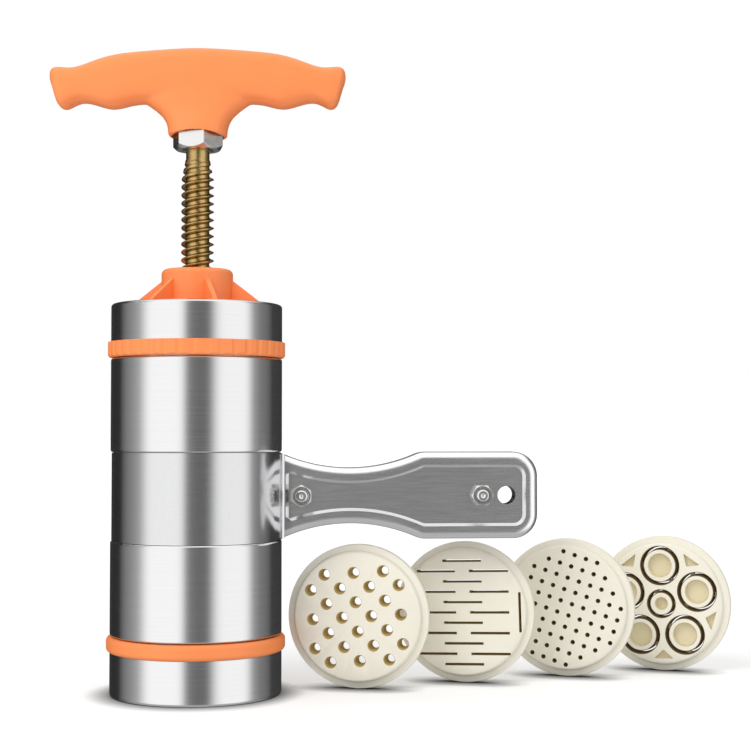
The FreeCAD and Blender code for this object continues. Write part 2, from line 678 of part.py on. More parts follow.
# Drive: the lead screw, its lock nut and the T-handle turn as one
def make_lead_screw():
    """The thread is drawn as its outside here: a bar with a turned spigot, neck and stud."""
    return turned_piece("lead_screw", [
        ("keeper_radius + press_gap", POCKET_ROOF),
        ("spigot_radius", POCKET_ROOF),
        ("spigot_radius", PISTON_TOP + " + turning_gap"),
        ("screw_radius", PISTON_TOP + " + turning_gap"),
        ("screw_radius", THREAD_END),
        ("neck_radius", NECK_FOOT),
        ("neck_radius", "lock_nut_foot"),
        ("stud_radius", "lock_nut_foot + stud_radius - neck_radius"),
        ("stud_radius", STUD_TOP),
        ("0", STUD_TOP),
        ("0", POCKET_ROOF + " + keeper_depth + keeper_hole_spare"),
        ("keeper_radius + press_gap", POCKET_ROOF + " + keeper_depth + keeper_hole_spare"),
    ])


def make_lock_nut():
    body = new_body("lock_nut")
    hex_sketch = new_sketch(body, "XY_Plane", "NutOutline")
    reach = size("lock_nut_flats") / math.sqrt(3)
    places = [
        Vector(reach * math.cos(math.radians(60 * index)), reach * math.sin(math.radians(60 * index)), 0)
        for index in range(6)
    ]
    for index in range(6):
        hex_sketch.addGeometry(Part.LineSegment(places[index], places[(index + 1) % 6]), False)
    pad = body.newObject("PartDesign::Pad", "NutBlock")
    pad.Profile = hex_sketch
    pad.setExpression("Length", bound("lock_nut_height"))
    doc.recompute()
    bevel_sketch = new_sketch(body, "XZ_Plane", "NutBevel")
    flat = "lock_nut_flats / 2 - lock_nut_bevel_inset"
    corner = "lock_nut_flats / 2 * nut_corner_share"
    far = "lock_nut_flats"
    draw_outline(bevel_sketch, [
        (flat, "0 - cut_overrun"),
        (flat, "0"),
        (corner, "lock_nut_chamfer"),
        (corner, "lock_nut_height - lock_nut_chamfer"),
        (flat, "lock_nut_height"),
        (flat, "lock_nut_height + cut_overrun"),
        (far, "lock_nut_height + cut_overrun"),
        (far, "0 - cut_overrun"),
    ])
    bevel = body.newObject("PartDesign::Groove", "NutBevelCut")
    bevel.Profile = bevel_sketch
    bevel.ReferenceAxis = (bevel_sketch, ["V_Axis"])
    bevel.Angle = 360
    doc.recompute()
    bore_sketch = new_sketch(body, "XZ_Plane", "NutBore")
    draw_outline(bore_sketch, [
        ("0", "0 - cut_overrun"),
        ("stud_radius + press_gap", "0 - cut_overrun"),
        ("stud_radius + press_gap", "lock_nut_height + cut_overrun"),
        ("0", "lock_nut_height + cut_overrun"),
    ])
    bore = body.newObject("PartDesign::Groove", "NutBoreCut")
    bore.Profile = bore_sketch
    bore.ReferenceAxis = (bore_sketch, ["V_Axis"])
    bore.Angle = 360
    doc.recompute()
    place = Vector(0, 0, size("lock_nut_foot"))
    body.Placement = Placement(place, Rotation(Z_AXIS, size("lock_nut_turn")))
    return body


def squared_ring(centre, long_way, half_long, half_deep, deep_way):
    """A closed smooth section between an ellipse and a rectangle."""
    power = 2 / SECTION_SQUARENESS
    places = []
    for index in range(SECTION_POINTS):
        angle = 2 * math.pi * index / SECTION_POINTS
        along = math.copysign(abs(math.cos(angle)) ** power, math.cos(angle))
        deep = math.copysign(abs(math.sin(angle)) ** power, math.sin(angle))
        places.append(centre + long_way * (half_long * along) + deep_way * (half_deep * deep))
    curve = Part.BSplineCurve()
    curve.interpolate(Points=places, PeriodicFlag=True)
    return Part.Wire(curve.toShape())


def make_t_handle():
    """Two lofts: the bar from tip to tip through its finger lobes, and the hub under it."""
    foot = size(HUB_FOOT)
    sections = []
    rows = [(-1, row) for row in reversed(GRIP_SECTIONS[1:])] + [(1, row) for row in GRIP_SECTIONS]
    for sign, (top_reach, top, under_reach, under, half_depth) in rows:
        upper = Vector(sign * top_reach, 0, foot + top)
        lower = Vector(sign * under_reach, 0, foot + under)
        half = (upper - lower) * 0.5
        way = Vector(half)
        way.normalize()
        sections.append(
            squared_ring(lower + half, way, half.Length, half_depth, Vector(0, 1, 0)))
    bar = Part.makeLoft(sections, True, False)
    rings = [
        squared_ring(Vector(0, 0, foot + height), Vector(1, 0, 0), width, depth, Vector(0, 1, 0))
        for height, width, depth in HUB_SECTIONS
    ]
    hub = Part.makeLoft(rings, True, False)
    handle = bar.fuse(hub)
    below = foot - size("cut_overrun")
    bore_deep = size(STUD_TOP + " + stud_end_gap") - below
    bore = Part.makeCylinder(size("stud_radius + press_gap"), bore_deep, Vector(0, 0, below))
    recess_roof = size("lock_nut_foot + lock_nut_height + press_gap")
    recess_radius = size("lock_nut_flats") / math.sqrt(3) + size("nut_recess_play")
    recess = Part.makeCylinder(recess_radius, recess_roof - below, Vector(0, 0, below))
    askew = Placement(ORIGIN, Rotation(Z_AXIS, -size("grip_turn")))
    return new_feature("t_handle", handle.cut(bore).cut(recess), askew)


# Piston: it slides in the liner and doesn't turn; a washer and screw keep it on the lead screw
def make_piston():
    outside = "bore_radius - piston_play"
    groove = "bore_radius - seal_play - seal_depth - press_gap"
    seal_foot = "piston_rest + seal_foot - press_gap"
    seal_top = "piston_rest + seal_foot + seal_height + press_gap"
    return turned_piece("piston", [
        ("pocket_radius", "piston_rest"),
        (outside, "piston_rest"),
        (outside, seal_foot),
        (groove, seal_foot),
        (groove, seal_top),
        (outside, seal_top),
        (outside, PISTON_TOP),
        ("boss_radius", PISTON_TOP),
        ("boss_radius", PISTON_TOP + " + boss_height"),
        ("screw_radius + turning_gap", PISTON_TOP + " + boss_height"),
        ("screw_radius + turning_gap", PISTON_TOP),
        ("spigot_radius + turning_gap", PISTON_TOP),
        ("spigot_radius + turning_gap", POCKET_ROOF),
        ("pocket_radius", POCKET_ROOF),
    ])


def make_piston_seal():
    outside = "bore_radius - seal_play"
    return turned_piece("piston_seal", [
        (outside + " - seal_depth", "piston_rest + seal_foot"),
        (outside + " - seal_bevel", "piston_rest + seal_foot"),
        (outside, "piston_rest + seal_foot + seal_bevel"),
        (outside, "piston_rest + seal_foot + seal_height - seal_bevel"),
        (outside + " - seal_bevel", "piston_rest + seal_foot + seal_height"),
        (outside + " - seal_depth", "piston_rest + seal_foot + seal_height"),
    ])


def make_piston_washer():
    return turned_piece("piston_washer", [
        ("keeper_radius + press_gap", WASHER_TOP + " - washer_thickness"),
        ("washer_radius", WASHER_TOP + " - washer_thickness"),
        ("washer_radius", WASHER_TOP),
        ("keeper_radius + press_gap", WASHER_TOP),
    ])


def make_piston_screw():
    head_top = WASHER_TOP + " - washer_thickness"
    body = turned_piece("piston_screw", [
        ("0", head_top + " - keeper_head_height"),
        ("keeper_head_radius", head_top + " - keeper_head_height"),
        ("keeper_head_radius", head_top),
        ("keeper_radius", head_top),
        ("keeper_radius", POCKET_ROOF + " + keeper_depth"),
        ("0", POCKET_ROOF + " + keeper_depth"),
    ])
    socket_sketch = new_sketch(body, "XY_Plane", "SocketOutline")
    reach = size("keeper_socket") / math.sqrt(3)
    places = [
        Vector(reach * math.cos(math.radians(60 * index)), reach * math.sin(math.radians(60 * index)), 0)
        for index in range(6)
    ]
    for index in range(6):
        socket_sketch.addGeometry(Part.LineSegment(places[index], places[(index + 1) % 6]), False)
    cut_through(body, socket_sketch, head_top + " - keeper_head_height / 3", "Socket")
    return body


# Bottom cap: screws over the liner's foot and carries the die
def make_bottom_cap():
    return turned_piece("bottom_cap", [
        (CAP_INSIDE, BEAD_TOP),
        (BEAD_RADIUS, BEAD_TOP),
        (BEAD_RADIUS, BEAD_FOOT),
        (CAP_OUTSIDE, BEAD_FOOT),
        (CAP_OUTSIDE, "outlet_foot"),
        (OUTLET_RADIUS, "outlet_foot"),
        (OUTLET_RADIUS, DIE_SEAT),
        ("flange_radius + die_play", DIE_SEAT),
        ("flange_radius + die_play", LINER_SEAT),
        (CAP_INSIDE, LINER_SEAT),
    ], "bead_rounding", [
        (BEAD_RADIUS, BEAD_TOP),
        (BEAD_RADIUS, BEAD_FOOT),
    ])


def make_bottom_sleeve():
    lip = SHELL_OUTSIDE + " - 2 * sleeve_lip"
    return turned_piece("bottom_cap_sleeve", [
        (lip, "0"),
        (SHELL_OUTSIDE, "0"),
        (SHELL_OUTSIDE, BEAD_FOOT + " - press_gap"),
        (SHELL_INSIDE, BEAD_FOOT + " - press_gap"),
        (SHELL_INSIDE, "shell_wall"),
        (lip, "shell_wall"),
    ], "sleeve_rounding", [(SHELL_OUTSIDE, "0")])


# Dies: one stepped disc each, built face up with the back of its flange at Z = 0
def die_blank(label):
    body = new_body(label)
    revolve(body, [
        ("0", "0"),
        ("flange_radius", "0"),
        ("flange_radius", "flange_thickness"),
        ("plateau_radius", "flange_thickness"),
        ("plateau_radius", DIE_HEIGHT),
        ("0", DIE_HEIGHT),
    ])
    return body


def ring_places(centre, radius, sides, turn=0.0):
    return [
        Vector(centre.x + radius * math.cos(2 * math.pi * index / sides + turn),
               centre.y + radius * math.sin(2 * math.pi * index / sides + turn), 0)
        for index in range(sides)
    ]


def add_loop(sketch, places):
    for index, place in enumerate(places):
        sketch.addGeometry(Part.LineSegment(place, places[(index + 1) % len(places)]), False)


def turned(across, up, degrees):
    angle = math.radians(degrees)
    return Vector(
        across * math.cos(angle) - up * math.sin(angle),
        across * math.sin(angle) + up * math.cos(angle), 0)


def grid_places(across_step, up_step, shifts, lift, field, degrees):
    """Grid points within a round field. Rows take the two sideways shifts in turn."""
    reach = int(size("plateau_radius") / min(across_step, up_step)) + 2
    places = []
    for row in range(-reach, reach + 1):
        for column in range(-reach, reach + 1):
            across = column * across_step + shifts[row % 2]
            up = row * up_step + lift
            if math.hypot(across, up) <= field:
                places.append(turned(across, up, degrees))
    return places


def drill_die(body, places, radius, sides):
    sketch = new_sketch(body, "XY_Plane", body.Name + "Holes")
    for place in places:
        add_loop(sketch, ring_places(place, radius, sides))
    cut_through(body, sketch, DIE_HEIGHT, body.Name + "Drilled")


def make_round_die():
    body = die_blank("die_round_holes")
    step = size("round_pitch")
    shifts = (step / 2, 0.0)
    places = grid_places(
        step, size("round_row"), shifts, 0.0, size("round_field"), size("round_turn"))
    drill_die(body, places, size("round_hole"), 12)
    return body


def make_fine_die():
    body = die_blank("die_fine_holes")
    step = size("fine_pitch")
    shifts = (step / 2, step / 2)
    places = grid_places(step, step, shifts, step / 2, size("fine_field"), size("fine_turn"))
    drill_die(body, places, size("fine_hole"), 6)
    return body


def make_fitted_die():
    body = die_blank("die_fitted")
    step = size("fitted_pitch")
    shifts = (0.0, step / 2)
    row_step = step * math.sqrt(3) / 2
    places = grid_places(step, row_step, shifts, 0.0, size("fitted_field"), 0.0)
    drill_die(body, places, size("fitted_hole"), 8)
    return body


def make_slot_die():
    """Three staggered columns of level slots and an upright slot at each side."""
    body = die_blank("die_flat_slots")
    half_length = size("slot_length") / 2
    half_width = size("slot_width") / 2
    column = size("slot_column")
    row = size("slot_row")
    slots = [(0.0, row * step, half_length, half_width) for step in (-5, -3, -1, 1, 3, 5)]
    for sign in (-1, 1):
        slots += [(sign * column, row * step, half_length, half_width) for step in (-4, -2, 0, 2, 4)]
        half_upright = size("side_slot_length") / 2
        slots.append((sign * size("side_slot_place"), 0.0, half_width, half_upright))
    turn = size("slot_turn")
    sketch = new_sketch(body, "XY_Plane", "Slots")
    for across, up, half_across, half_up in slots:
        add_loop(sketch, [
            turned(across - half_across, up - half_up, turn),
            turned(across + half_across, up - half_up, turn),
            turned(across + half_across, up + half_up, turn),
            turned(across - half_across, up + half_up, turn),
        ])
    cut_through(body, sketch, DIE_HEIGHT, "SlotsCut")
    return body


def noodle_core_cut(centre, gap, core, cup, bridge_turn):
    """What is cut for one hollow noodle: a gap down to three bridges, and the core's cup."""
    height = size(DIE_HEIGHT)
    ring = Part.makeCylinder(gap, height, centre).cut(Part.makeCylinder(core, height, centre))
    width = size("bridge_width")
    for index in range(3):
        bridge = Part.makeBox(2 * gap, width, size("bridge_height"), Vector(0, -width / 2, 0))
        bridge.rotate(ORIGIN, Z_AXIS, bridge_turn + 120 * index)
        bridge.translate(centre)
        ring = ring.cut(bridge)
    depth = size("core_cup_depth")
    return ring.fuse(Part.makeCylinder(cup, depth, centre + Vector(0, 0, height - depth)))


def make_hollow_die():
    height = size(DIE_HEIGHT)
    flange = Part.makeCylinder(size("flange_radius"), size("flange_thickness"))
    plateau = Part.makeCylinder(size("plateau_radius"), height)
    disc = flange.fuse(plateau)
    pocket_depth = size("rim_pocket_depth")
    tip = size("pocket_tip_reach")
    base = size("pocket_base_reach")
    base_half = size("pocket_base_half")
    outline = [(tip, 0), (base, base_half), (base, -base_half), (tip, 0)]
    for index in range(5):
        angle = 90 + size("core_turn") + 72 * index
        centre = turned(size("core_circle"), 0, angle)
        disc = disc.cut(noodle_core_cut(
            centre, size("core_gap_radius"), size("core_radius"), size("core_cup_radius"), angle + 90))
        corners = [turned(out, aside, angle + 36) for out, aside in outline]
        pocket = Part.Face(Part.makePolygon(corners)).extrude(Vector(0, 0, pocket_depth))
        pocket.translate(Vector(0, 0, height - pocket_depth))
        disc = disc.cut(pocket)
    disc = disc.cut(noodle_core_cut(
        ORIGIN, size("middle_gap_radius"), size("middle_core_radius"), size("middle_cup_radius"), 0))
    return new_feature("die_hollow_noodles", disc)


def stand_on_table(die, number):
    """Stand a die on its rim, in a staggered row, turned a little past the viewer."""
    first = size(SHELL_OUTSIDE + " + spare_gap + flange_radius")
    across = first + number * size("spare_across_step")
    back = size("spare_first_back") + number * size("spare_back_step")
    aside = math.degrees(math.atan2(across - size("viewer_across"), size("viewer_front") + back))
    upright = Rotation(Vector(1, 0, 0), 90)
    facing = Rotation(Z_AXIS, -aside - size("spare_turn"))
    die.Placement = Placement(Vector(across, back, size("flange_radius")), facing.multiply(upright))


pieces = [
    make_liner(),
    make_shell(),
    make_strap_handle(),
    make_handle_bolts(),
    make_handle_nuts(),
    make_top_cap(),
    make_top_sleeve(),
    make_screw_insert(),
    make_lead_screw(),
    make_lock_nut(),
    make_t_handle(),
    make_piston(),
    make_piston_seal(),
    make_piston_washer(),
    make_piston_screw(),
    make_bottom_cap(),
    make_bottom_sleeve(),
]

fitted = make_fitted_die()
seat = Vector(0, 0, size(LINER_SEAT + " + press_gap"))
fitted.Placement = Placement(seat, Rotation(Vector(1, 0, 0), 180))
pieces.append(fitted)

spares = [make_round_die(), make_slot_die(), make_fine_die(), make_hollow_die()]
for number, die in enumerate(spares):
    stand_on_table(die, number)
pieces += spares
doc.recompute()

for item in doc.Objects:
    if "Invalid" in item.State or "Error" in item.State:
        raise RuntimeError("%s is in state %s" % (item.Label, item.State))
for piece in pieces:
    if piece.Shape.isNull() or not piece.Shape.isValid():
        raise RuntimeError("%s has no valid shape" % piece.Label)

os.makedirs("parts", exist_ok=True)
for piece in pieces:
    piece.Shape.exportStep("parts/%s.step" % piece.Label)
    print("%-20s %2d solid(s) %10.1f mm3" % (piece.Label, len(piece.Shape.Solids), piece.Shape.Volume))
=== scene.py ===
# %% [markdown]
# A hand pasta press. A steel barrel holds the dough, a long screw with a T-shaped handle drives
# a plunger down, and the dough leaves through a perforated disc at the foot. Four more discs
# stand beside it. The solid shapes come from the CAD part, and this scene dresses them: it adds
# the camera, the light, the finishes, and the pieces that need more detail than a solid has.

# %% Load the solid model
import bpy
import math
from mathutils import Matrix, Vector


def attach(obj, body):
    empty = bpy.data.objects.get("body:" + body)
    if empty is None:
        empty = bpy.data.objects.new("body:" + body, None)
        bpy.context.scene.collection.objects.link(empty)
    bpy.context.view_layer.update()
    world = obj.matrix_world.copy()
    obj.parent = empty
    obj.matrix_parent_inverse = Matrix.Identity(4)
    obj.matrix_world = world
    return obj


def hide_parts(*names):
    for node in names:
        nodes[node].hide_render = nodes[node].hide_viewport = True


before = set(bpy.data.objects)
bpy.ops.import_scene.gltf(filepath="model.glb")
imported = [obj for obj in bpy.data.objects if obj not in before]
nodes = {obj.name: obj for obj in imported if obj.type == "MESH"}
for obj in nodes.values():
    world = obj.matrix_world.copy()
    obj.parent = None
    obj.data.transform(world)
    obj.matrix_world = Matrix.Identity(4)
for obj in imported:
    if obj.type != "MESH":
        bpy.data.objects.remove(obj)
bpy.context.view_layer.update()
MM = 0.001
print("pieces from the solid model:", len(nodes))

# %% [markdown]
# The camera stands a little above the middle of the press, about as far away as a photographer
# would stand from a table-top product. A long lens keeps the barrel's sides almost parallel.
# The lens is worked out from an image 750 pixels wide.

# %% Camera
IMAGE_WIDTH = 750
FOCAL_PIXELS = 1588
SENSOR_WIDTH = 36.0
CAMERA_PLACE = (0.020, -0.780, 0.1285)
DEGREES_UP = 1.91
DEGREES_RIGHT = 4.93
bpy.ops.object.camera_add(
    location=CAMERA_PLACE,
    rotation=(math.radians(90 + DEGREES_UP), 0, math.radians(-DEGREES_RIGHT)))
camera = bpy.context.object
camera.name = "camera"
camera.data.sensor_width = SENSOR_WIDTH
camera.data.lens = FOCAL_PIXELS / IMAGE_WIDTH * SENSOR_WIDTH
camera.data.clip_start = 0.01
camera.data.clip_end = 50
bpy.context.scene.camera = camera
bpy.context.scene.view_settings.view_transform = "Standard"
print("lens in mm:", round(camera.data.lens, 1))

# %% [markdown]
# Sky, table and finishes are all built from shader nodes. Small helpers keep that short: one
# adds a node with its values, one maps a range of values to another, one joins two sockets, and
# one makes a plain grey.

# %% Helpers for shader nodes
def add_node(tree, kind, values=None, operation=None):
    """A new node with the values of its sockets, and its operation if it can do several."""
    node = tree.nodes.new("ShaderNode" + kind)
    if operation:
        node.operation = operation
    for socket, value in (values or {}).items():
        node.inputs[socket].default_value = value
    return node


def add_range(tree, low, high, low_result=0.0, high_result=1.0):
    """A node that maps the values from low to high to two results and all between them."""
    return add_node(tree, "MapRange", {
        "From Min": low, "From Max": high, "To Min": low_result, "To Max": high_result})


def link(tree, from_node, from_socket, to_node, to_socket):
    """Joins an output to an input, each named or counted from 0."""
    tree.links.new(from_node.outputs[from_socket], to_node.inputs[to_socket])


def grey(level):
    """A colour with no tint."""
    return (level, level, level, 1)

# %% [markdown]
# Polished and brushed steel has hardly any colour of its own: it looks like what it reflects.
# A photographer builds those reflections with two tall soft lamps and dark cards. Here the
# surroundings do it, as a sky painted by direction: bright lamps to the left and right of the
# camera, a darker gap between them, grey sides and a dark back. Each step below is an angle away
# from the viewer's side, in degrees, and how bright the sky is there.

# %% Bright and dark bands all round
LEFT_STEPS = [
    (180, 0.10), (165, 0.03), (136, 0.022), (122, 0.026), (115, 0.10), (107, 0.172), (94, 0.25),
    (82, 0.36), (74, 0.60), (69, 0.80), (62, 0.93), (23, 0.94), (18, 0.80), (11, 0.28), (6, 0.17),
]
RIGHT_STEPS = [
    (0, 0.145), (6, 0.13), (13, 0.135), (17, 0.19), (21, 0.36), (29, 0.76), (36, 0.90), (68, 0.91),
    (74, 0.76), (79, 0.50), (84, 0.30), (95, 0.185), (108, 0.145), (116, 0.10), (122, 0.045),
    (165, 0.03), (180, 0.10),
]
world = bpy.data.worlds.new("studio")
bpy.context.scene.world = world
world.use_nodes = True
sky = world.node_tree
sky.nodes.clear()
way = add_node(sky, "TexCoord")
parts_of_way = add_node(sky, "SeparateXYZ")
toward_viewer = add_node(sky, "Math", {1: -1}, "MULTIPLY")
turn = add_node(sky, "Math", operation="ARCTAN2")
share_of_turn = add_node(sky, "Math", {1: 1 / (2 * math.pi), 2: 0.5}, "MULTIPLY_ADD")
lamps = add_node(sky, "ValToRGB")
link(sky, way, "Generated", parts_of_way, 0)
link(sky, parts_of_way, "Y", toward_viewer, 0)
link(sky, parts_of_way, "X", turn, 0)
link(sky, toward_viewer, "Value", turn, 1)
link(sky, turn, "Value", share_of_turn, 0)
link(sky, share_of_turn, "Value", lamps, "Fac")
ramp = lamps.color_ramp
ramp.interpolation = "LINEAR"
stops = [(0.5 - angle / 360, level) for angle, level in LEFT_STEPS]
stops += [(0.5 + angle / 360, level) for angle, level in RIGHT_STEPS]
ramp.elements[0].position = 0
ramp.elements[1].position = 1
for place, level in stops[1:-1]:
    ramp.elements.new(place)
for element, (place, level) in zip(ramp.elements, stops):
    element.position = place
    element.color = grey(level)
print("sky steps:", len(stops))

# %% [markdown]
# High overhead the painted sky turns bright, and far below it turns to the grey of a table.
# Mirror-like rays see that painted sky. Light that only brightens a matt surface comes evenly
# from everywhere, so every side of the object is lit at a plain level, and the camera itself
# sees plain white.

# %% Above, below, and what each kind of ray sees
OVERHEAD_STARTS, OVERHEAD_FULL, OVERHEAD_LEVEL = 0.55, 0.85, 0.95
TABLE_STARTS, TABLE_FULL, TABLE_LEVEL = -0.45, -0.80, 0.36
PLAIN_LIGHT_LEVEL = 0.86
METAL_LIGHT_LEVEL = 1.45
overhead = add_range(sky, OVERHEAD_STARTS, OVERHEAD_FULL)
underfoot = add_range(sky, TABLE_STARTS, TABLE_FULL)
table_sky = add_node(sky, "MixRGB", {"Color2": grey(TABLE_LEVEL)})
mirror_sky = add_node(sky, "MixRGB", {"Color2": grey(OVERHEAD_LEVEL)})
link(sky, parts_of_way, "Z", overhead, "Value")
link(sky, parts_of_way, "Z", underfoot, "Value")
link(sky, underfoot, "Result", table_sky, "Fac")
link(sky, lamps, "Color", table_sky, "Color1")
link(sky, overhead, "Result", mirror_sky, "Fac")
link(sky, table_sky, "Color", mirror_sky, "Color1")

light_path = add_node(sky, "LightPath")
plain_light = add_node(sky, "Background", {"Color": grey(1), "Strength": PLAIN_LIGHT_LEVEL})
seen_in_metal = add_node(sky, "Background", {"Strength": METAL_LIGHT_LEVEL})
seen_by_camera = add_node(sky, "Background", {"Color": grey(1)})
metal_or_matt = add_node(sky, "MixShader")
camera_or_not = add_node(sky, "MixShader")
sky_output = add_node(sky, "OutputWorld")
link(sky, mirror_sky, "Color", seen_in_metal, "Color")
link(sky, light_path, "Is Glossy Ray", metal_or_matt, "Fac")
link(sky, plain_light, 0, metal_or_matt, 1)
link(sky, seen_in_metal, 0, metal_or_matt, 2)
link(sky, light_path, "Is Camera Ray", camera_or_not, "Fac")
link(sky, metal_or_matt, 0, camera_or_not, 1)
link(sky, seen_by_camera, 0, camera_or_not, 2)
link(sky, camera_or_not, "Shader", sky_output, "Surface")
world.cycles.sampling_method = "NONE"
print("light on matt surfaces:", PLAIN_LIGHT_LEVEL)

# %% [markdown]
# Even light alone has no direction. One large soft lamp from the upper left gives the plastic
# its shape and gives the discs a soft shadow on the table. It isn't seen in the steel, where the
# painted bands are enough.

# %% Key lamp
LAMP_PLACE = (-0.55, -0.75, 1.05)
LAMP_AIM = (0.08, 0.0, 0.12)
LAMP_SIDE = 0.7
LAMP_WATTS = 6.5
bpy.ops.object.light_add(type="AREA", location=LAMP_PLACE)
key_lamp = bpy.context.object
key_lamp.name = "key_lamp"
key_lamp.data.shape = "RECTANGLE"
key_lamp.data.size = LAMP_SIDE
key_lamp.data.size_y = LAMP_SIDE
key_lamp.data.energy = LAMP_WATTS
aim = Vector(LAMP_AIM) - key_lamp.location
key_lamp.rotation_euler = aim.to_track_quat("-Z", "Y").to_euler()
key_lamp.visible_glossy = False
print("lamp power in W:", key_lamp.data.energy)

# %% [markdown]
# White paper on a table darkens close to what stands on it. An ambient occlusion node paints that
# narrow shadow into the paper's colour and its lift, as painted shadow. A lift that only the
# camera sees keeps the paper white, and it grows with the distance from the press so that the far
# edge of the table melts into the white ground.

# %% Table
FLOOR_SIDE = 30
SHADOW_REACH = 0.014
SHADOW_POWER = 2.0
PAPER_TONE = 0.90
NEAR_EDGE, FAR_EDGE = 0.30, 1.60
NEAR_LIFT, FAR_LIFT = 0.14, 0.36
bpy.ops.mesh.primitive_plane_add(size=FLOOR_SIDE, location=(0, 0, 0))
floor = bpy.context.object
floor.name = "floor"
floor.visible_glossy = False
paper = bpy.data.materials.new("white_table")
paper.use_nodes = True
table = paper.node_tree
table.nodes.clear()
contact = add_node(table, "AmbientOcclusion", {"Distance": SHADOW_REACH})
contact.samples = 16
depth = add_node(table, "Math", {1: SHADOW_POWER}, "POWER")
table_place = add_node(table, "TexCoord")
distance = add_node(table, "VectorMath", operation="LENGTH")
far_lift = add_range(table, NEAR_EDGE, FAR_EDGE, NEAR_LIFT, FAR_LIFT)
shaded_lift = add_node(table, "Math", operation="MULTIPLY")
table_path = add_node(table, "LightPath")
seen_lift = add_node(table, "Math", operation="MULTIPLY")
paper_with_painted_shadow = add_node(table, "MixRGB", {"Color1": grey(0), "Color2": grey(PAPER_TONE)})
matt_white = add_node(table, "BsdfDiffuse")
lift = add_node(table, "Emission")
table_sum = add_node(table, "AddShader")
table_output = add_node(table, "OutputMaterial")
link(table, contact, "AO", depth, 0)
link(table, table_place, "Object", distance, 0)
link(table, distance, "Value", far_lift, "Value")
link(table, far_lift, "Result", shaded_lift, 0)
link(table, depth, "Value", shaded_lift, 1)
link(table, shaded_lift, "Value", seen_lift, 0)
link(table, table_path, "Is Camera Ray", seen_lift, 1)
link(table, depth, "Value", paper_with_painted_shadow, "Fac")
link(table, paper_with_painted_shadow, "Color", matt_white, "Color")
link(table, seen_lift, "Value", lift, "Strength")
link(table, matt_white, 0, table_sum, 0)
link(table, lift, 0, table_sum, 1)
link(table, table_sum, "Shader", table_output, "Surface")
floor.data.materials.append(paper)
print("table side in m:", FLOOR_SIDE)

# %% [markdown]
# Every finish starts from one recipe: a base colour, a pattern that changes it slightly, and a
# pattern that makes the surface a little uneven. Moulded plastic has a very fine orange-peel.
# Brushed steel has long thin scratches, so its pattern is squeezed along one direction. The
# patterns are laid in object coordinates, which for these pieces are metres.

# %% Recipe for a finish
def linear(red, green, blue):
    """Colour as the eye names it, 0 to 255, in the linear light that the shader wants."""
    def one(value):
        share = value / 255
        return share / 12.92 if share <= 0.04045 else ((share + 0.055) / 1.055) ** 2.4
    return (one(red), one(green), one(blue), 1)


def scaled(colour, share):
    """A colour made darker or lighter, up to full white."""
    return tuple(min(1, part * share) for part in colour[:3]) + (1,)


def add_noise(tree, place, scale, detail, roughness=0.5):
    """Noise in object coordinates that are squeezed by three numbers, in turns per metre."""
    stretch = add_node(tree, "Mapping", {"Scale": scale})
    noise = add_node(tree, "TexNoise", {"Scale": 1, "Detail": detail, "Roughness": roughness})
    link(tree, place, "Object", stretch, "Vector")
    link(tree, stretch, "Vector", noise, "Vector")
    return noise


def finish(name, colour, metal, roughness, squeeze, tone_change, gloss_change, bump_height,
           fine=None):
    """A material whose tone and gloss follow one pattern. A fine second one may give relief."""
    material = bpy.data.materials.new(name)
    material.use_nodes = True
    tree = material.node_tree
    surface = tree.nodes["Principled BSDF"]
    surface.inputs["Metallic"].default_value = metal
    place = add_node(tree, "TexCoord")
    grain = add_noise(tree, place, squeeze, 4, 0.6)
    tone = add_node(tree, "MixRGB", {
        "Color1": scaled(colour, 1 - tone_change), "Color2": scaled(colour, 1 + tone_change)})
    gloss = add_range(tree, 0.3, 0.7, roughness - gloss_change, roughness + gloss_change)
    relief = add_node(tree, "Bump", {"Strength": 1.0, "Distance": bump_height})
    link(tree, grain, "Fac", tone, "Fac")
    link(tree, tone, "Color", surface, "Base Color")
    link(tree, grain, "Fac", gloss, "Value")
    link(tree, gloss, "Result", surface, "Roughness")
    uneven = add_noise(tree, place, fine, 2) if fine else grain
    link(tree, uneven, "Fac", relief, "Height")
    link(tree, relief, "Normal", surface, "Normal")
    return material


def dress(name, material):
    """Gives a piece of the solid model a better finish."""
    data = nodes[name].data
    data.materials.clear()
    data.materials.append(material)

# %% [markdown]
# The barrel and its sleeves were brushed while they turned in a lathe, so the scratches run
# round them: the pattern is squeezed hard along the axis and hardly at all across it. The
# pressed handle was brushed along its length before it was stamped. The caps and the T-handle
# are moulded in orange plastic, the discs and the plunger in cream plastic, and the screw is
# zinc plated with a yellow tint.

# %% Finishes
ROUND_THE_AXIS = (5, 5, 1500)
ALONG_THE_HANDLE = (70, 1500, 1500)
EVEN = (60, 60, 60)
PEEL = (1300, 1300, 1300)
# Name, colour, metal or not, roughness, squeeze of the pattern, how far it changes the tone and
# the gloss, and the height of the relief in metres
brushed_steel = finish(
    "brushed_steel", linear(214, 214, 215), 1, 0.155, ROUND_THE_AXIS, 0.06, 0.04, 0.00001)
pressed_steel = finish(
    "pressed_steel", linear(233, 233, 234), 1, 0.24, ALONG_THE_HANDLE, 0.05, 0.03, 0.000008)
orange_plastic = finish(
    "orange_plastic", linear(250, 142, 78), 0, 0.36, EVEN, 0.03, 0.04, 0.00003, PEEL)
cream_plastic = finish(
    "cream_plastic", linear(240, 235, 219), 0, 0.38, EVEN, 0.015, 0.05, 0.00003, PEEL)
yellow_zinc = finish(
    "yellow_zinc", linear(186, 158, 104), 1, 0.27, (250, 250, 250), 0.14, 0.06, 0.00002)
bright_zinc = finish(
    "bright_zinc", linear(214, 214, 212), 1, 0.24, (300, 300, 300), 0.08, 0.06, 0.00002)
seal_rubber = finish(
    "seal_rubber", linear(58, 56, 54), 0, 0.6, (400, 400, 400), 0.1, 0.05, 0.00004)
insert_steel = finish(
    "insert_steel", linear(170, 170, 172), 1, 0.35, ROUND_THE_AXIS, 0.08, 0.05, 0.00003)
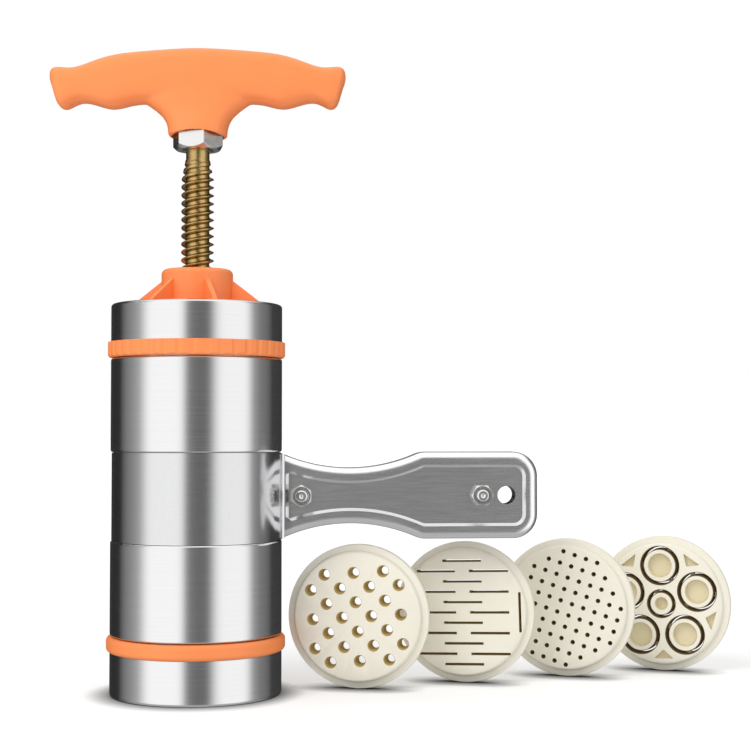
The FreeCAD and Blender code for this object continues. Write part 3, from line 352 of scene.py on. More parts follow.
PIECES_IN = [
    (brushed_steel, ["barrel_liner", "barrel_shell", "top_cap_sleeve", "bottom_cap_sleeve"]),
    (pressed_steel, ["strap_handle"]),
    (orange_plastic, ["top_cap", "bottom_cap", "t_handle"]),
    (cream_plastic, ["piston", "die_fitted", "die_round_holes", "die_flat_slots",
                     "die_fine_holes", "die_hollow_noodles"]),
    (yellow_zinc, ["lead_screw"]),
    (bright_zinc, ["handle_bolts", "handle_nuts", "lock_nut", "piston_washer", "piston_screw"]),
    (seal_rubber, ["piston_seal"]),
    (insert_steel, ["screw_insert"]),
]
for material, names in PIECES_IN:
    for name in names:
        dress(name, material)
print("finishes:", len(PIECES_IN))

# %% [markdown]
# Near the barrel the handle's strip is smoother than its panel, which keeps the grain of the
# sheet, and its colour is darker there: a painted shade for the strip's darker reflection. Both
# change over the few millimetres of the bend.

# %% Smoother strap with painted shade, grained panel
BEND_START = 0.040
BEND_END = 0.047
# Near the barrel the base colour is painted darker, as painted shade, and the roughness is lower
PAINTED_SHADE_AND_GLOSS_AT_BARREL = {"Base Color": 0.74, "Roughness": 0.65}
steel = pressed_steel.node_tree
strip_place = add_node(steel, "TexCoord")
parts_of_place = add_node(steel, "SeparateXYZ")
link(steel, strip_place, "Object", parts_of_place, 0)
for socket_name, at_barrel in PAINTED_SHADE_AND_GLOSS_AT_BARREL.items():
    socket = steel.nodes["Principled BSDF"].inputs[socket_name]
    pattern = socket.links[0].from_socket
    share = add_range(steel, BEND_START, BEND_END, at_barrel)
    product = add_node(steel, "VectorMath", operation="MULTIPLY")
    link(steel, parts_of_place, "X", share, "Value")
    steel.links.new(pattern, product.inputs[0])
    link(steel, share, "Result", product, 1)
    steel.links.new(product.outputs[0], socket)
print("strap and panel blend over mm:", round((BEND_END - BEND_START) / MM, 1))

# %% [markdown]
# Most pieces of this press are turned parts: a half outline spun round the barrel's axis. The
# outline is drawn the way it is done by hand. A small square is merged into a single point, and
# that point is extruded from corner to corner. The outline lies in the plane of X and Z, and its
# numbers are in millimetres.

# %% Drawing and spinning an outline
DOUBLES = 0.01


def open_piece(name):
    """Names the primitive that was just added, puts its origin at zero and opens it."""
    piece = bpy.context.object
    piece.name = name
    piece.data.name = name
    bpy.ops.object.transform_apply(location=True, rotation=True, scale=True)
    bpy.ops.object.mode_set(mode="EDIT")
    return piece


def nothing_selected():
    """Leaves edit mode and deselects every object."""
    if bpy.context.object and bpy.context.object.mode != "OBJECT":
        bpy.ops.object.mode_set(mode="OBJECT")
    bpy.ops.object.select_all(action="DESELECT")


def draw_outline(name, corners):
    """A chain of edges through the corners (radius, height)."""
    nothing_selected()
    across, up = corners[0]
    bpy.ops.mesh.primitive_plane_add(size=MM, location=(across * MM, 0, up * MM))
    piece = open_piece(name)
    bpy.ops.mesh.merge(type="CENTER")
    for (across_1, up_1), (across_2, up_2) in zip(corners, corners[1:]):
        step = ((across_2 - across_1) * MM, 0, (up_2 - up_1) * MM)
        bpy.ops.mesh.extrude_region_move(TRANSFORM_OT_translate={"value": step})
    return piece


def spin_closed(piece, steps):
    """Spins the outline once round and joins the seam."""
    bpy.ops.mesh.select_all(action="SELECT")
    bpy.ops.mesh.spin(steps=steps, angle=2 * math.pi, center=(0, 0, 0), axis=(0, 0, 1))
    bpy.ops.mesh.select_all(action="SELECT")
    bpy.ops.mesh.remove_doubles(threshold=DOUBLES * MM)
    bpy.ops.mesh.normals_make_consistent(inside=False)
    bpy.ops.object.mode_set(mode="OBJECT")
    return piece

# %% [markdown]
# A finished piece needs its modifiers applied, its edges rounded, its place settled in the mesh,
# and then smooth shading, a finish and the moving body that carries it. An edge sharper than 32
# degrees stays sharp to the eye.

# %% Finishing a piece
SHARP_FROM = 32


def only(*pieces):
    """Selects these pieces and nothing else. The last one is the active one."""
    nothing_selected()
    for piece in pieces:
        piece.select_set(True)
    bpy.context.view_layer.objects.active = pieces[-1]


def use_modifier(piece, kind, **settings):
    """Adds a modifier, sets it and applies it."""
    only(piece)
    modifier = piece.modifiers.new(kind.lower(), kind)
    for setting, value in settings.items():
        setattr(modifier, setting, value)
    bpy.ops.object.modifier_apply(modifier=modifier.name)


def soften(piece, width, segments, degrees):
    """Rounds every edge that is sharper than the angle. The width is in millimetres."""
    use_modifier(
        piece, "BEVEL", width=width * MM, segments=segments, limit_method="ANGLE",
        angle_limit=math.radians(degrees), use_clamp_overlap=True)


def stand(piece, place, degrees=(0, 0, 0)):
    """Turns a finished piece and moves it to its place, then settles both in its mesh."""
    only(piece)
    piece.rotation_euler = [math.radians(angle) for angle in degrees]
    piece.location = Vector(place) * MM
    bpy.ops.object.transform_apply(location=True, rotation=True, scale=True)
    return piece


def settle(piece, material, slot, body, *replaced):
    """Smooth shading, the finish, the body it rides on and the solids it stands for."""
    only(piece)
    bpy.ops.object.shade_smooth_by_angle(angle=math.radians(SHARP_FROM))
    if not piece.data.materials:
        piece.data.materials.append(material)
    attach(piece, body)
    if replaced:
        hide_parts(*replaced)
    triangles = sum(len(face.vertices) - 2 for face in piece.data.polygons)
    print(piece.name, "triangles:", triangles)
    return piece

# %% [markdown]
# The drive screw has a two-start thread: two ridges wind round it side by side, 4 mm apart, so
# one turn lowers the plunger 8 mm. A ridge is narrow with a rounded crest, and the groove between
# is wide. The Screw modifier winds an outline upwards as it turns. The outline holds exactly
# the two ridges of one turn, so each turn meets the next without a seam. The screw is then cut
# level at both ends, and near the top the ridges sink into the plain neck.

# %% Winding the thread
THREAD_LEAD = 8.0
CREST_RADIUS = 8.0
ROOT_RADIUS = 5.75
RIDGE = [(-1.7, 0.0), (-1.25, 0.12), (-0.85, 0.85), (-0.55, 1.75), (-0.25, 2.17), (0.0, 2.25),
         (0.25, 2.17), (0.55, 1.75), (0.85, 0.85), (1.25, 0.12), (1.7, 0.0)]
SCREW_FOOT = 79.1
RIDGES_END = 249.5
NECK_START = 261.0
SCREW_TOP = 264.5
THREAD_PHASE = 1.2
STEPS_PER_TURN = 48
SPARE_TURNS = 3
ridge_outline = []
for start in (0, 1):
    middle = SCREW_FOOT - THREAD_LEAD + THREAD_PHASE + (start + 0.5) * THREAD_LEAD / 2
    ridge_outline += [(ROOT_RADIUS + height, middle + along) for along, height in RIDGE]
first = ridge_outline[0]
ridge_outline.append((first[0], first[1] + THREAD_LEAD))
lead_screw = draw_outline("drive_screw", ridge_outline)
bpy.ops.object.mode_set(mode="OBJECT")
turns = math.ceil((SCREW_TOP - SCREW_FOOT) / THREAD_LEAD) + SPARE_TURNS
use_modifier(
    lead_screw, "SCREW", axis="Z", angle=2 * math.pi, screw_offset=THREAD_LEAD * MM,
    iterations=turns, steps=STEPS_PER_TURN, render_steps=STEPS_PER_TURN, use_merge_vertices=True,
    merge_threshold=DOUBLES * MM)
bpy.ops.object.mode_set(mode="EDIT")
bpy.ops.mesh.select_all(action="SELECT")
bpy.ops.mesh.remove_doubles(threshold=DOUBLES * MM)
for level, above in ((SCREW_FOOT, False), (SCREW_TOP, True)):
    bpy.ops.mesh.select_all(action="SELECT")
    bpy.ops.mesh.bisect(
        plane_co=(0, 0, level * MM), plane_no=(0, 0, 1), use_fill=True,
        clear_inner=not above, clear_outer=above)
bpy.ops.mesh.select_all(action="SELECT")
bpy.ops.mesh.normals_make_consistent(inside=False)
bpy.ops.object.mode_set(mode="OBJECT")
for corner in lead_screw.data.vertices:
    across = math.hypot(corner.co.x, corner.co.y)
    height = corner.co.z / MM
    share = min(1, max(0, (height - RIDGES_END) / (NECK_START - RIDGES_END)))
    limit = (CREST_RADIUS + (ROOT_RADIUS - CREST_RADIUS) * share) * MM
    if across > limit:
        corner.co.x *= limit / across
        corner.co.y *= limit / across
print("turns of the thread:", turns, "corners:", len(lead_screw.data.vertices))

# %% [markdown]
# Below the thread the screw has a turned spigot that carries the plunger, with a small hole for
# the screw that keeps it on. Above the neck a plain stud goes up into the T-handle. Both ends
# are one spun outline, joined to the thread as one piece.

# %% Ends of the screw
spigot = draw_outline("spigot", [
    (0, 88.0), (2.95, 88.0), (2.95, 71.6), (3.2, 71.4), (4.7, 71.4), (5.0, 71.7), (5.0, 80.0)])
spin_closed(spigot, 48)
stud = draw_outline("stud", [
    (5.6, 264.4), (5.75, 264.5), (7.0, 265.75), (7.0, 291.4), (6.4, 292.0), (0, 292.0)])
spin_closed(stud, 64)
only(spigot, stud, lead_screw)
bpy.ops.object.join()
settle(lead_screw, yellow_zinc, "yellow_zinc", "screw", "lead_screw")

# %% [markdown]
# The T-handle is one plastic moulding: a bar with two finger lobes on each side, and a hub that
# grips the lock nut. The bar is modelled as half a handle. A ring of points stands at the middle
# and is extruded outwards, and at every station it is set upright, scaled to the height and
# depth of the section, and tilted again. A mirror makes the other half. The numbers are the
# section's top and underside (reach and height over the hub's foot) and half its depth. The
# sections lie between an oval and a rectangle, as a comfortable grip does.

# %% Half the bar, station by station
HUB_FOOT = 271.2
GRIP_TURN = 5.0
BAR_STATIONS = [
    (0.0, 43.6, 0.0, 15.0, 10.4),
    (13.0, 42.9, 13.0, 16.2, 10.35),
    (29.5, 41.6, 29.5, 17.0, 10.2),
    (36.6, 40.9, 36.6, 14.7, 10.0),
    (43.2, 39.7, 42.7, 13.4, 9.8),
    (49.8, 37.6, 49.4, 15.8, 9.5),
    (56.7, 34.7, 56.7, 17.8, 9.2),
    (62.6, 33.3, 61.2, 15.6, 9.1),
    (69.1, 34.7, 65.0, 13.2, 8.9),
    (72.0, 33.4, 67.7, 14.4, 7.9),
    (72.6, 30.6, 69.5, 18.0, 5.2),
]
RING_POINTS = 24
SQUARENESS = 3.6


def station(row):
    """Middle, half height, tilt and half depth of a section, in millimetres and radians."""
    top = Vector((row[0], 0, HUB_FOOT + row[1]))
    under = Vector((row[2], 0, HUB_FOOT + row[3]))
    middle = (top + under) / 2
    upward = top - under
    return middle, upward.length / 2, math.atan2(upward.x, upward.z), row[4]


def squared(angle, squareness):
    """A point between a circle and a square."""
    power = 2 / squareness
    return (
        math.copysign(abs(math.cos(angle)) ** power, math.cos(angle)),
        math.copysign(abs(math.sin(angle)) ** power, math.sin(angle)),
    )


middle, half_height, tilt, half_depth = station(BAR_STATIONS[0])
nothing_selected()
bpy.ops.mesh.primitive_circle_add(
    vertices=RING_POINTS, radius=MM, location=middle * MM, rotation=(0, math.radians(90), 0))
bar = open_piece("t_grip")
bpy.ops.object.mode_set(mode="OBJECT")
for corner in bar.data.vertices:
    angle = math.atan2(corner.co.y, corner.co.z - middle.z * MM)
    along, deep = squared(angle, SQUARENESS)
    corner.co = Vector((0, deep * half_depth, middle.z + along * half_height)) * MM
bpy.ops.object.mode_set(mode="EDIT")
bpy.ops.mesh.select_all(action="SELECT")
for row in BAR_STATIONS[1:]:
    new_middle, new_height, new_tilt, new_depth = station(row)
    pivot = new_middle * MM
    bpy.ops.mesh.extrude_region_move(
        TRANSFORM_OT_translate={"value": (new_middle - middle) * MM})
    bpy.ops.transform.rotate(
        value=tilt, orient_axis="Y", orient_type="GLOBAL", center_override=pivot)
    bpy.ops.transform.resize(
        value=(1, new_depth / half_depth, new_height / half_height), orient_type="GLOBAL",
        center_override=pivot)
    bpy.ops.transform.rotate(
        value=-new_tilt, orient_axis="Y", orient_type="GLOBAL", center_override=pivot)
    middle, half_height, tilt, half_depth = new_middle, new_height, new_tilt, new_depth
bpy.ops.mesh.extrude_region_move(TRANSFORM_OT_translate={"value": (0.1 * MM, 0, 0)})
bpy.ops.transform.resize(value=(1, 0.5, 0.5), orient_type="GLOBAL", center_override=pivot)
bpy.ops.mesh.edge_face_add()
bpy.ops.object.mode_set(mode="OBJECT")
use_modifier(bar, "MIRROR", use_axis=(True, False, False), merge_threshold=0.02 * MM)
use_modifier(bar, "SUBSURF", levels=2, render_levels=2)
print("bar in mm:", [round(side / MM, 1) for side in bar.dimensions])

# %% [markdown]
# The hub is a second ring that grows upwards from round to oval until it is inside the bar. The
# two are joined, and a fine voxel remesh makes one skin of them. Smoothing that skin rounds the
# inner corner where hub meets bar, as a mould-maker would. What has a crisp edge is cut
# afterwards.

# %% Hub, and one skin for both
HUB_STATIONS = [
    (0.0, 14.0, 13.6), (1.0, 14.4, 13.8), (3.6, 14.5, 13.5), (7.0, 15.5, 12.6), (10.0, 17.4, 11.7),
    (13.0, 20.8, 11.0), (16.6, 26.0, 10.6), (20.0, 30.0, 10.3), (26.0, 30.0, 10.1),
]
HUB_SQUARENESS = 2.7
VOXEL = 0.7
SMOOTH_ROUNDS = 9
height, half_width, half_depth = HUB_STATIONS[0]
nothing_selected()
bpy.ops.mesh.primitive_circle_add(
    vertices=RING_POINTS, radius=MM, fill_type="NGON", location=(0, 0, HUB_FOOT * MM))
hub = open_piece("t_hub")
bpy.ops.object.mode_set(mode="OBJECT")
for corner in hub.data.vertices:
    across, deep = squared(math.atan2(corner.co.y, corner.co.x), HUB_SQUARENESS)
    corner.co = Vector((across * half_width, deep * half_depth, HUB_FOOT)) * MM
bpy.ops.object.mode_set(mode="EDIT")
bpy.ops.mesh.select_all(action="SELECT")
for new_height, new_width, new_depth in HUB_STATIONS[1:]:
    bpy.ops.mesh.extrude_region_move(
        TRANSFORM_OT_translate={"value": (0, 0, (new_height - height) * MM)})
    bpy.ops.transform.resize(
        value=(new_width / half_width, new_depth / half_depth, 1), orient_type="GLOBAL",
        center_override=(0, 0, 0))
    height, half_width, half_depth = new_height, new_width, new_depth
bpy.ops.mesh.select_all(action="SELECT")
bpy.ops.mesh.normals_make_consistent(inside=False)
bpy.ops.object.mode_set(mode="OBJECT")


def cut(piece, tool, operation="DIFFERENCE"):
    """Cuts one piece with another, which is used up."""
    use_modifier(piece, "BOOLEAN", operation=operation, object=tool, solver="EXACT")
    bpy.data.objects.remove(tool)


def round_bar(name, radius, foot, top, sides=64):
    """A plain cylinder along Z, used as a cutter."""
    nothing_selected()
    bpy.ops.mesh.primitive_cylinder_add(
        vertices=sides, radius=radius * MM, depth=(top - foot) * MM,
        location=(0, 0, (top + foot) / 2 * MM))
    piece = open_piece(name)
    bpy.ops.object.mode_set(mode="OBJECT")
    return piece


cut(bar, hub, "UNION")
t_handle = bar
use_modifier(t_handle, "REMESH", mode="VOXEL", voxel_size=VOXEL * MM)
use_modifier(t_handle, "SMOOTH", factor=0.5, iterations=SMOOTH_ROUNDS)
print("corners of the joined skin:", len(t_handle.data.vertices))

# %% [markdown]
# Three cuts finish the handle: the pocket for the lock nut, the shallow arch of the hub's foot,
# and the hole for the stud. Then the handle is turned to the angle that it was screwed on at.

# %% Pocket, arch and stud hole
POCKET_RADIUS, POCKET_ROOF = 12.9, 275.05
STUD_HOLE_RADIUS, STUD_HOLE_END = 7.05, 292.3
ARCH_RADIUS = 42.0
ARCH_RISE = 1.7
cut(t_handle, round_bar("nut_pocket", POCKET_RADIUS, HUB_FOOT - 2, POCKET_ROOF))
arch = round_bar("arch", ARCH_RADIUS, -20, 20, 160)
stand(arch, (0, 0, HUB_FOOT + ARCH_RISE - ARCH_RADIUS), (90, 0, 0))
cut(t_handle, arch)
cut(t_handle, round_bar("stud_hole", STUD_HOLE_RADIUS, HUB_FOOT - 2, STUD_HOLE_END))
stand(t_handle, (0, 0, 0), (0, 0, -GRIP_TURN))
settle(t_handle, orange_plastic, "orange_plastic", "screw", "t_handle")
print("T-handle in mm:", [round(side / MM, 1) for side in t_handle.dimensions])

# %% [markdown]
# A hexagon nut starts as a turned blank with sloping shoulders. Where the six flats cut the
# shoulders, they leave the curved chamfer that every real nut shows. So a nut here is the part
# that a hexagonal bar and a turned blank have in common. It is made round Z and then stood where
# it belongs. Weighted normals keep each flat plain to the eye, right up to its rounded edges.

# %% Hexagon nuts and bolt heads
FACE_SHARE = 0.96
SPARE = 0.2
BORE_EDGE = 0.5
LOCK_NUT_TURN = -15.5


def hexagon(name, flats, height, chamfer, bore=0.0, turn=0.0):
    """A chamfered hexagon from Z = 0 up, with a bore if it is a nut."""
    corner = flats / math.sqrt(3)
    inner = flats / 2 * FACE_SHARE
    outer = corner + SPARE
    blank = spin_closed(draw_outline("blank", [
        (0, 0), (inner, 0), (outer, chamfer), (outer, height - chamfer), (inner, height),
        (0, height)]), 60)
    nothing_selected()
    bpy.ops.mesh.primitive_cylinder_add(
        vertices=6, radius=corner * MM, depth=height * MM, location=(0, 0, height / 2 * MM),
        rotation=(0, 0, math.radians(turn + 30)))
    nut = open_piece(name)
    bpy.ops.object.mode_set(mode="OBJECT")
    cut(nut, blank, "INTERSECT")
    if bore:
        mouth = bore + BORE_EDGE + 1
        hole = spin_closed(draw_outline("bore", [
            (0, -1), (mouth, -1), (bore, BORE_EDGE), (bore, height - BORE_EDGE),
            (mouth, height + 1), (0, height + 1)]), 48)
        cut(nut, hole)
    soften(nut, 0.18, 2, 25)
    return nut


lock_nut = hexagon("clamp_nut", 22.0, 10.5, 2.3, bore=7.1, turn=LOCK_NUT_TURN)
stand(lock_nut, (0, 0, 264.5))
settle(lock_nut, bright_zinc, "bright_zinc", "screw", "lock_nut")
use_modifier(lock_nut, "WEIGHTED_NORMAL", keep_sharp=True)
print("lock nut turned by degrees:", LOCK_NUT_TURN)

# %% [markdown]
# Two bolts hold the stamped handle together. Their heads are at the back and their ends come
# through nuts at the front. A rolled bolt end has a small dimple and a few turns of thread.

# %% Bolts and nuts of the side handle
BOLT_HEIGHT = 95.5
PANEL = 5.25
NEAR_BOLT = 50.7
FAR_BOLT = 139.3
BOLT_RADIUS = 2.9
BOLT_PITCH = 0.5
THREAD_START = 3.4
THREAD_DEPTH = 0.22
HEAD_FLATS, HEAD_HEIGHT = 10.0, 3.8
NUT_FLATS, NUT_HEIGHT = 9.6, 4.6
NUT_CHAMFER = 0.9
thread_line = []
for ridge in range(5):
    foot = 2 * PANEL + THREAD_START + ridge * BOLT_PITCH
    thread_line += [(BOLT_RADIUS - THREAD_DEPTH, foot), (BOLT_RADIUS, foot + BOLT_PITCH / 2)]
bolts = []
nuts = []
for label, across, turn in (("near", NEAR_BOLT, 30), ("far", FAR_BOLT, 0)):
    shank = draw_outline("bolt_" + label, (
        [(0, -2), (BOLT_RADIUS, -2), (BOLT_RADIUS, 13.5)] + thread_line
        + [(BOLT_RADIUS - 0.1, 16.1), (2.2, 16.5), (1.3, 16.45), (0.8, 16.0), (0, 15.8)]))
    spin_closed(shank, 40)
    head = hexagon("head", HEAD_FLATS, HEAD_HEIGHT, NUT_CHAMFER, turn=turn)
    stand(head, (0, 0, 0), (180, 0, 0))
    cut(shank, head, "UNION")
    stand(shank, (across, PANEL, BOLT_HEIGHT), (90, 0, 0))
    bolts.append(shank)
    nut = hexagon(
        "nut_" + label, NUT_FLATS, NUT_HEIGHT, NUT_CHAMFER, bore=BOLT_RADIUS + 0.05, turn=turn)
    stand(nut, (across, -PANEL, BOLT_HEIGHT), (90, 0, 0))
    nuts.append(nut)


def join(name, pieces):
    """One object of several, which takes the place of the first."""
    only(*reversed(pieces))
    bpy.ops.object.join()
    pieces[0].name = name
    return pieces[0]


clamp_bolts = settle(
    join("clamp_bolts", bolts), bright_zinc, "bright_zinc", "root", "handle_bolts")
clamp_nuts = settle(join("clamp_nuts", nuts), bright_zinc, "bright_zinc", "root", "handle_nuts")
use_modifier(clamp_bolts, "WEIGHTED_NORMAL", keep_sharp=True)
use_modifier(clamp_nuts, "WEIGHTED_NORMAL", keep_sharp=True)

# %% [markdown]
# The press comes with one disc fitted and four spare ones. Every disc is the same stepped blank
# with its own pattern of openings. A blank is spun once for each disc, lying face up at the
# origin. The openings are cutters that are joined into one tool, so a single cut makes them all.
# The walls of an opening take a darker colour, a painted shade, because light hardly reaches them.
# The finished
# disc is stood on its rim and turned a little past the camera, so that nobody looks straight
# through its narrow openings.

# %% A blank disc and the places of its openings
# Painted shade: darker cream and olive colours for the walls of openings, cups, pockets and
# bridges, where light hardly reaches.
painted_funnel_shade = finish(
    "painted_funnel_shade", linear(196, 172, 112), 0, 0.45, EVEN, 0.03, 0.05, 0.00003, PEEL)
painted_pocket_shade = finish(
    "painted_pocket_shade", linear(228, 217, 182), 0, 0.42, EVEN, 0.02, 0.05, 0.00003, PEEL)
painted_slot_shade = finish(
    "painted_slot_shade", linear(182, 154, 96), 0, 0.6, EVEN, 0.05, 0.05, 0.00003, PEEL)
painted_narrow_shade = finish(
    "painted_narrow_shade", linear(116, 96, 60), 0, 0.6, EVEN, 0.05, 0.05, 0.00003, PEEL)
for shade in (painted_funnel_shade, painted_slot_shade, painted_narrow_shade):
    surface = shade.node_tree.nodes["Principled BSDF"]
    surface.inputs["Specular IOR Level"].default_value = 0.05
FLANGE_RADIUS = 35.5
VIEWER = (20.0, -780.0)
SPARE_TURN = 12.0
STAND_PLACES = {
    "die_round_holes": (80.5, 10.0), "die_flat_slots": (136.0, 25.0),
    "die_fine_holes": (191.5, 40.0), "die_hollow_noodles": (247.0, 55.0),
}


def blank_disc(name):
    disc = spin_closed(draw_outline(name, [
        (0, 0), (35.1, 0), (35.5, 0.4), (35.5, 3.5), (35.3, 3.85), (34.9, 4.0), (32.8, 4.0),
        (32.45, 4.15), (32.25, 4.6), (32.0, 6.0), (31.75, 6.6), (31.3, 7.05), (30.7, 7.3),
        (0, 7.3)]), 128)
    disc.data.materials.append(cream_plastic)
    return disc


def press_out(disc, tool, walls):
    """Cuts openings out of a disc. Their walls take the tool's colour, a painted shade."""
    tool.data.materials.clear()
    tool.data.materials.append(walls)
    use_modifier(disc, "BOOLEAN", object=tool, solver="EXACT", material_mode="TRANSFER")
    bpy.data.objects.remove(tool)


def turned(across, up, degrees):
    angle = math.radians(degrees)
    return (across * math.cos(angle) - up * math.sin(angle),
            across * math.sin(angle) + up * math.cos(angle))


def grid(across_step, up_step, shifts, lift, field, degrees):
    """Places of a grid inside a round field. Rows take the two sideways shifts in turn."""
    places = []
    for row in range(-8, 9):
        for column in range(-8, 9):
            across = column * across_step + shifts[row % 2]
            up = row * up_step + lift
            if math.hypot(across, up) <= field:
                places.append(turned(across, up, degrees))
    return places


def copies(tool, places, degrees=None):
    """One tool made of copies of the first, each with its own mesh."""
    tools = []
    for index, (across, up) in enumerate(places):
        copy = tool.copy()
        copy.data = tool.data.copy()
        bpy.context.scene.collection.objects.link(copy)
        copy.location = (across * MM, up * MM, 0)
        if degrees:
            copy.rotation_euler.z = math.radians(degrees[index])
        tools.append(copy)
    bpy.data.objects.remove(tool)
    only(*reversed(tools))
    bpy.ops.object.transform_apply(location=True, rotation=True, scale=True)
    if len(tools) > 1:
        bpy.ops.object.join()
    return tools[0]


def stand_disc(disc, node):
    """Stands a disc on its rim and turns its face a little past the camera."""
    across, back = STAND_PLACES[node]
    aside = math.degrees(math.atan2(across - VIEWER[0], back - VIEWER[1]))
    stand(disc, (across, back, FLANGE_RADIUS), (90, 0, -aside - SPARE_TURN))
    settle(disc, cream_plastic, "cream_plastic", "root", node)
    disc.visible_glossy = False

# %% [markdown]
# The first disc makes round noodles. Its holes are funnels: wide at the face and narrow at the
# back. The rows are turned a few degrees. The disc for fine noodles has small holes on a square
# grid, and they narrow to an even finer outlet at the back. So many small holes need few sides
# each.

# %% Round holes and fine holes
disc = blank_disc("disc_round_holes")
funnel = spin_closed(draw_outline("funnel", [
    (0, -1), (1.9, -1), (1.9, 1.5), (2.75, 6.9), (3.0, 7.3), (3.3, 8.3), (0, 8.3)]), 32)
places = grid(
    across_step=14.8, up_step=7.2, shifts=(7.4, 0.0), lift=0.0, field=27.5, degrees=4.3)
press_out(disc, copies(funnel, places), painted_funnel_shade)
stand_disc(disc, "die_round_holes")
print("round holes:", len(places))

disc = blank_disc("disc_fine_holes")
needle = spin_closed(draw_outline("needle", [
    (0, -1), (0.5, -1), (0.5, 1.6), (1.0, 2.2), (1.0, 6.9), (1.2, 7.3), (1.7, 8.3),
    (0, 8.3)]), 14)
FINE_STEP = 6.15
places = grid(
    across_step=FINE_STEP, up_step=FINE_STEP, shifts=(FINE_STEP / 2, FINE_STEP / 2),
    lift=FINE_STEP / 2, field=29.9, degrees=-17.5)
press_out(disc, copies(needle, places), painted_narrow_shade)
stand_disc(disc, "die_fine_holes")
print("fine holes:", len(places))

# %% [markdown]
# Flat noodles come out of slots: sixteen level ones in a staggered pattern make the middle, and
# one upright slot stands at each side. A slot is cut with a flat block whose far end is drawn in
# to a narrower outlet.

# %% Slots
disc = blank_disc("disc_flat_slots")
nothing_selected()
SLOT_SIZE = (20.0, 1.3, 7.0)
SLOT_MIDDLE = 5.0
bpy.ops.mesh.primitive_cube_add(size=MM, location=(0, 0, SLOT_MIDDLE * MM))
slot_tool = open_piece("slot_tool")
bpy.ops.transform.resize(value=SLOT_SIZE, center_override=(0, 0, SLOT_MIDDLE * MM))
bpy.ops.mesh.select_all(action="DESELECT")
bpy.ops.object.mode_set(mode="OBJECT")
for face in slot_tool.data.polygons:
    face.select = face.normal.z < -0.5
bpy.ops.object.mode_set(mode="EDIT")
bpy.ops.mesh.inset(thickness=0.4 * MM)
bpy.ops.mesh.extrude_region_move(TRANSFORM_OT_translate={"value": (0, 0, -3 * MM)})
bpy.ops.object.mode_set(mode="OBJECT")
ROW_STEP = 5.2
SIDE_SHIFT = 13.6
UPRIGHT_SHIFT = 29.0
TILT = 1.7
middle_rows = [(0.0, ROW_STEP * row) for row in (-5, -3, -1, 1, 3, 5)]
side_rows = [
    (side * SIDE_SHIFT, ROW_STEP * row) for side in (-1, 1) for row in (-4, -2, 0, 2, 4)]
upright = [(-UPRIGHT_SHIFT, 0.0), (UPRIGHT_SHIFT, 0.0)]
places = [turned(across, up, TILT) for across, up in middle_rows + side_rows + upright]
ways = [TILT] * (len(places) - 2) + [TILT + 90] * 2
press_out(disc, copies(slot_tool, places, ways), painted_slot_shade)
stand_disc(disc, "die_flat_slots")
print("slots:", len(places))

# %% [markdown]
# Hollow noodles need a core in the middle of each opening, held by three thin bridges at the
# back. Each core has a shallow cup. Five large cores stand round a small one, and the mould has
# five three-cornered pockets to save plastic. The ring-shaped gap is a spun tube used as a
# cutter.

# %% Cores, cups and pockets
def gap_tool(inside, outside):
    return spin_closed(draw_outline("gap", [
        (inside + 0.4, -1), (outside - 0.4, -1), (outside - 0.4, 1.0), (outside, 1.6),
        (outside, 6.8), (outside + 0.5, 7.4), (outside + 0.9, 8.3), (inside - 0.9, 8.3),
        (inside - 0.5, 7.4), (inside, 6.8), (inside, 1.6), (inside + 0.4, 1.0),
        (inside + 0.4, -1)]), 64)


def cup_tool(radius):
    return spin_closed(draw_outline("cup", [
        (0, 3.3), (radius - 1.0, 3.3), (radius - 0.5, 3.55), (radius - 0.3, 4.1),
        (radius + 0.1, 7.0), (radius + 0.9, 7.8), (radius + 1.3, 8.3), (0, 8.3)]), 48)


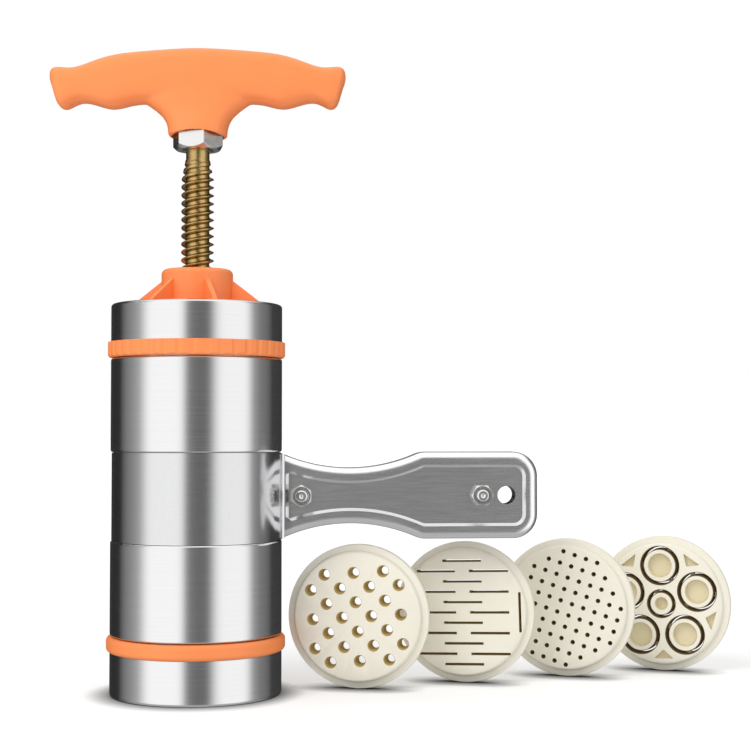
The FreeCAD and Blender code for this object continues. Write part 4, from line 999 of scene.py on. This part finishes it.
CORE_TURN = 2.2
core_angles = [90 + CORE_TURN + 72 * index for index in range(5)]
core_places = [turned(20.1, 0, angle) for angle in core_angles]
disc = blank_disc("disc_hollow_noodles")
press_out(disc, copies(gap_tool(8.7, 10.1), core_places), painted_narrow_shade)
press_out(disc, copies(gap_tool(6.1, 7.3), [(0, 0)]), painted_narrow_shade)
# The cups and pockets take a painted shade, darker than the disc.
press_out(disc, copies(cup_tool(6.1), core_places), painted_pocket_shade)
press_out(disc, copies(cup_tool(3.2), [(0, 0)]), painted_pocket_shade)
nothing_selected()
bpy.ops.mesh.primitive_cylinder_add(
    vertices=3, radius=5 * MM, depth=4 * MM, location=(0, 0, (4.3 + 2) * MM))
pocket = open_piece("pocket")
bpy.ops.object.mode_set(mode="OBJECT")
corner_places = [(24.0, 0.0), (28.8, 5.2), (28.8, -5.2)]
for corner in pocket.data.vertices:
    nearest = round((math.degrees(math.atan2(corner.co.y, corner.co.x)) + 360) / 120) % 3
    corner.co.x, corner.co.y = (value * MM for value in corner_places[nearest])
bpy.ops.object.mode_set(mode="EDIT")
bpy.ops.mesh.select_all(action="SELECT")
bpy.ops.mesh.normals_make_consistent(inside=False)
bpy.ops.object.mode_set(mode="OBJECT")
soften(pocket, 0.7, 3, 70)
pocket_ways = [angle + 36 for angle in core_angles]
press_out(disc, copies(pocket, [(0, 0)] * 5, pocket_ways), painted_pocket_shade)
print("cores:", len(core_places) + 1, "pockets:", len(pocket_ways))

# %% [markdown]
# Three bridges hold each core. They are short blocks that lie low in the gap, so they hardly
# show from the front, and dough flows round them.

# %% Bridges
LARGE_REACH, SMALL_REACH = 9.4, 6.7
BRIDGE_SIZE = (2.0, 2.4, 2.6)
BRIDGE_MIDDLE = 1.35
bridge_places = []
bridge_ways = []
cores = [(place, angle, LARGE_REACH) for place, angle in zip(core_places, core_angles)]
cores.append(((0, 0), -90, SMALL_REACH))
for (across, up), start, reach in cores:
    for third in range(3):
        way = start + 90 + 120 * third
        shift = turned(reach, 0, way)
        bridge_places.append((across + shift[0], up + shift[1]))
        bridge_ways.append(way)
nothing_selected()
bpy.ops.mesh.primitive_cube_add(size=MM, location=(0, 0, BRIDGE_MIDDLE * MM))
bridge = open_piece("bridge")
bpy.ops.transform.resize(value=BRIDGE_SIZE, center_override=(0, 0, BRIDGE_MIDDLE * MM))
bpy.ops.object.mode_set(mode="OBJECT")
soften(bridge, 0.3, 2, 60)
# The bridges take the same painted shade as the pockets.
bridge.data.materials.append(painted_pocket_shade)
bridges = copies(bridge, bridge_places, bridge_ways)
join("disc_hollow_noodles", [disc, bridges])
stand_disc(disc, "die_hollow_noodles")
print("bridges:", len(bridge_places))
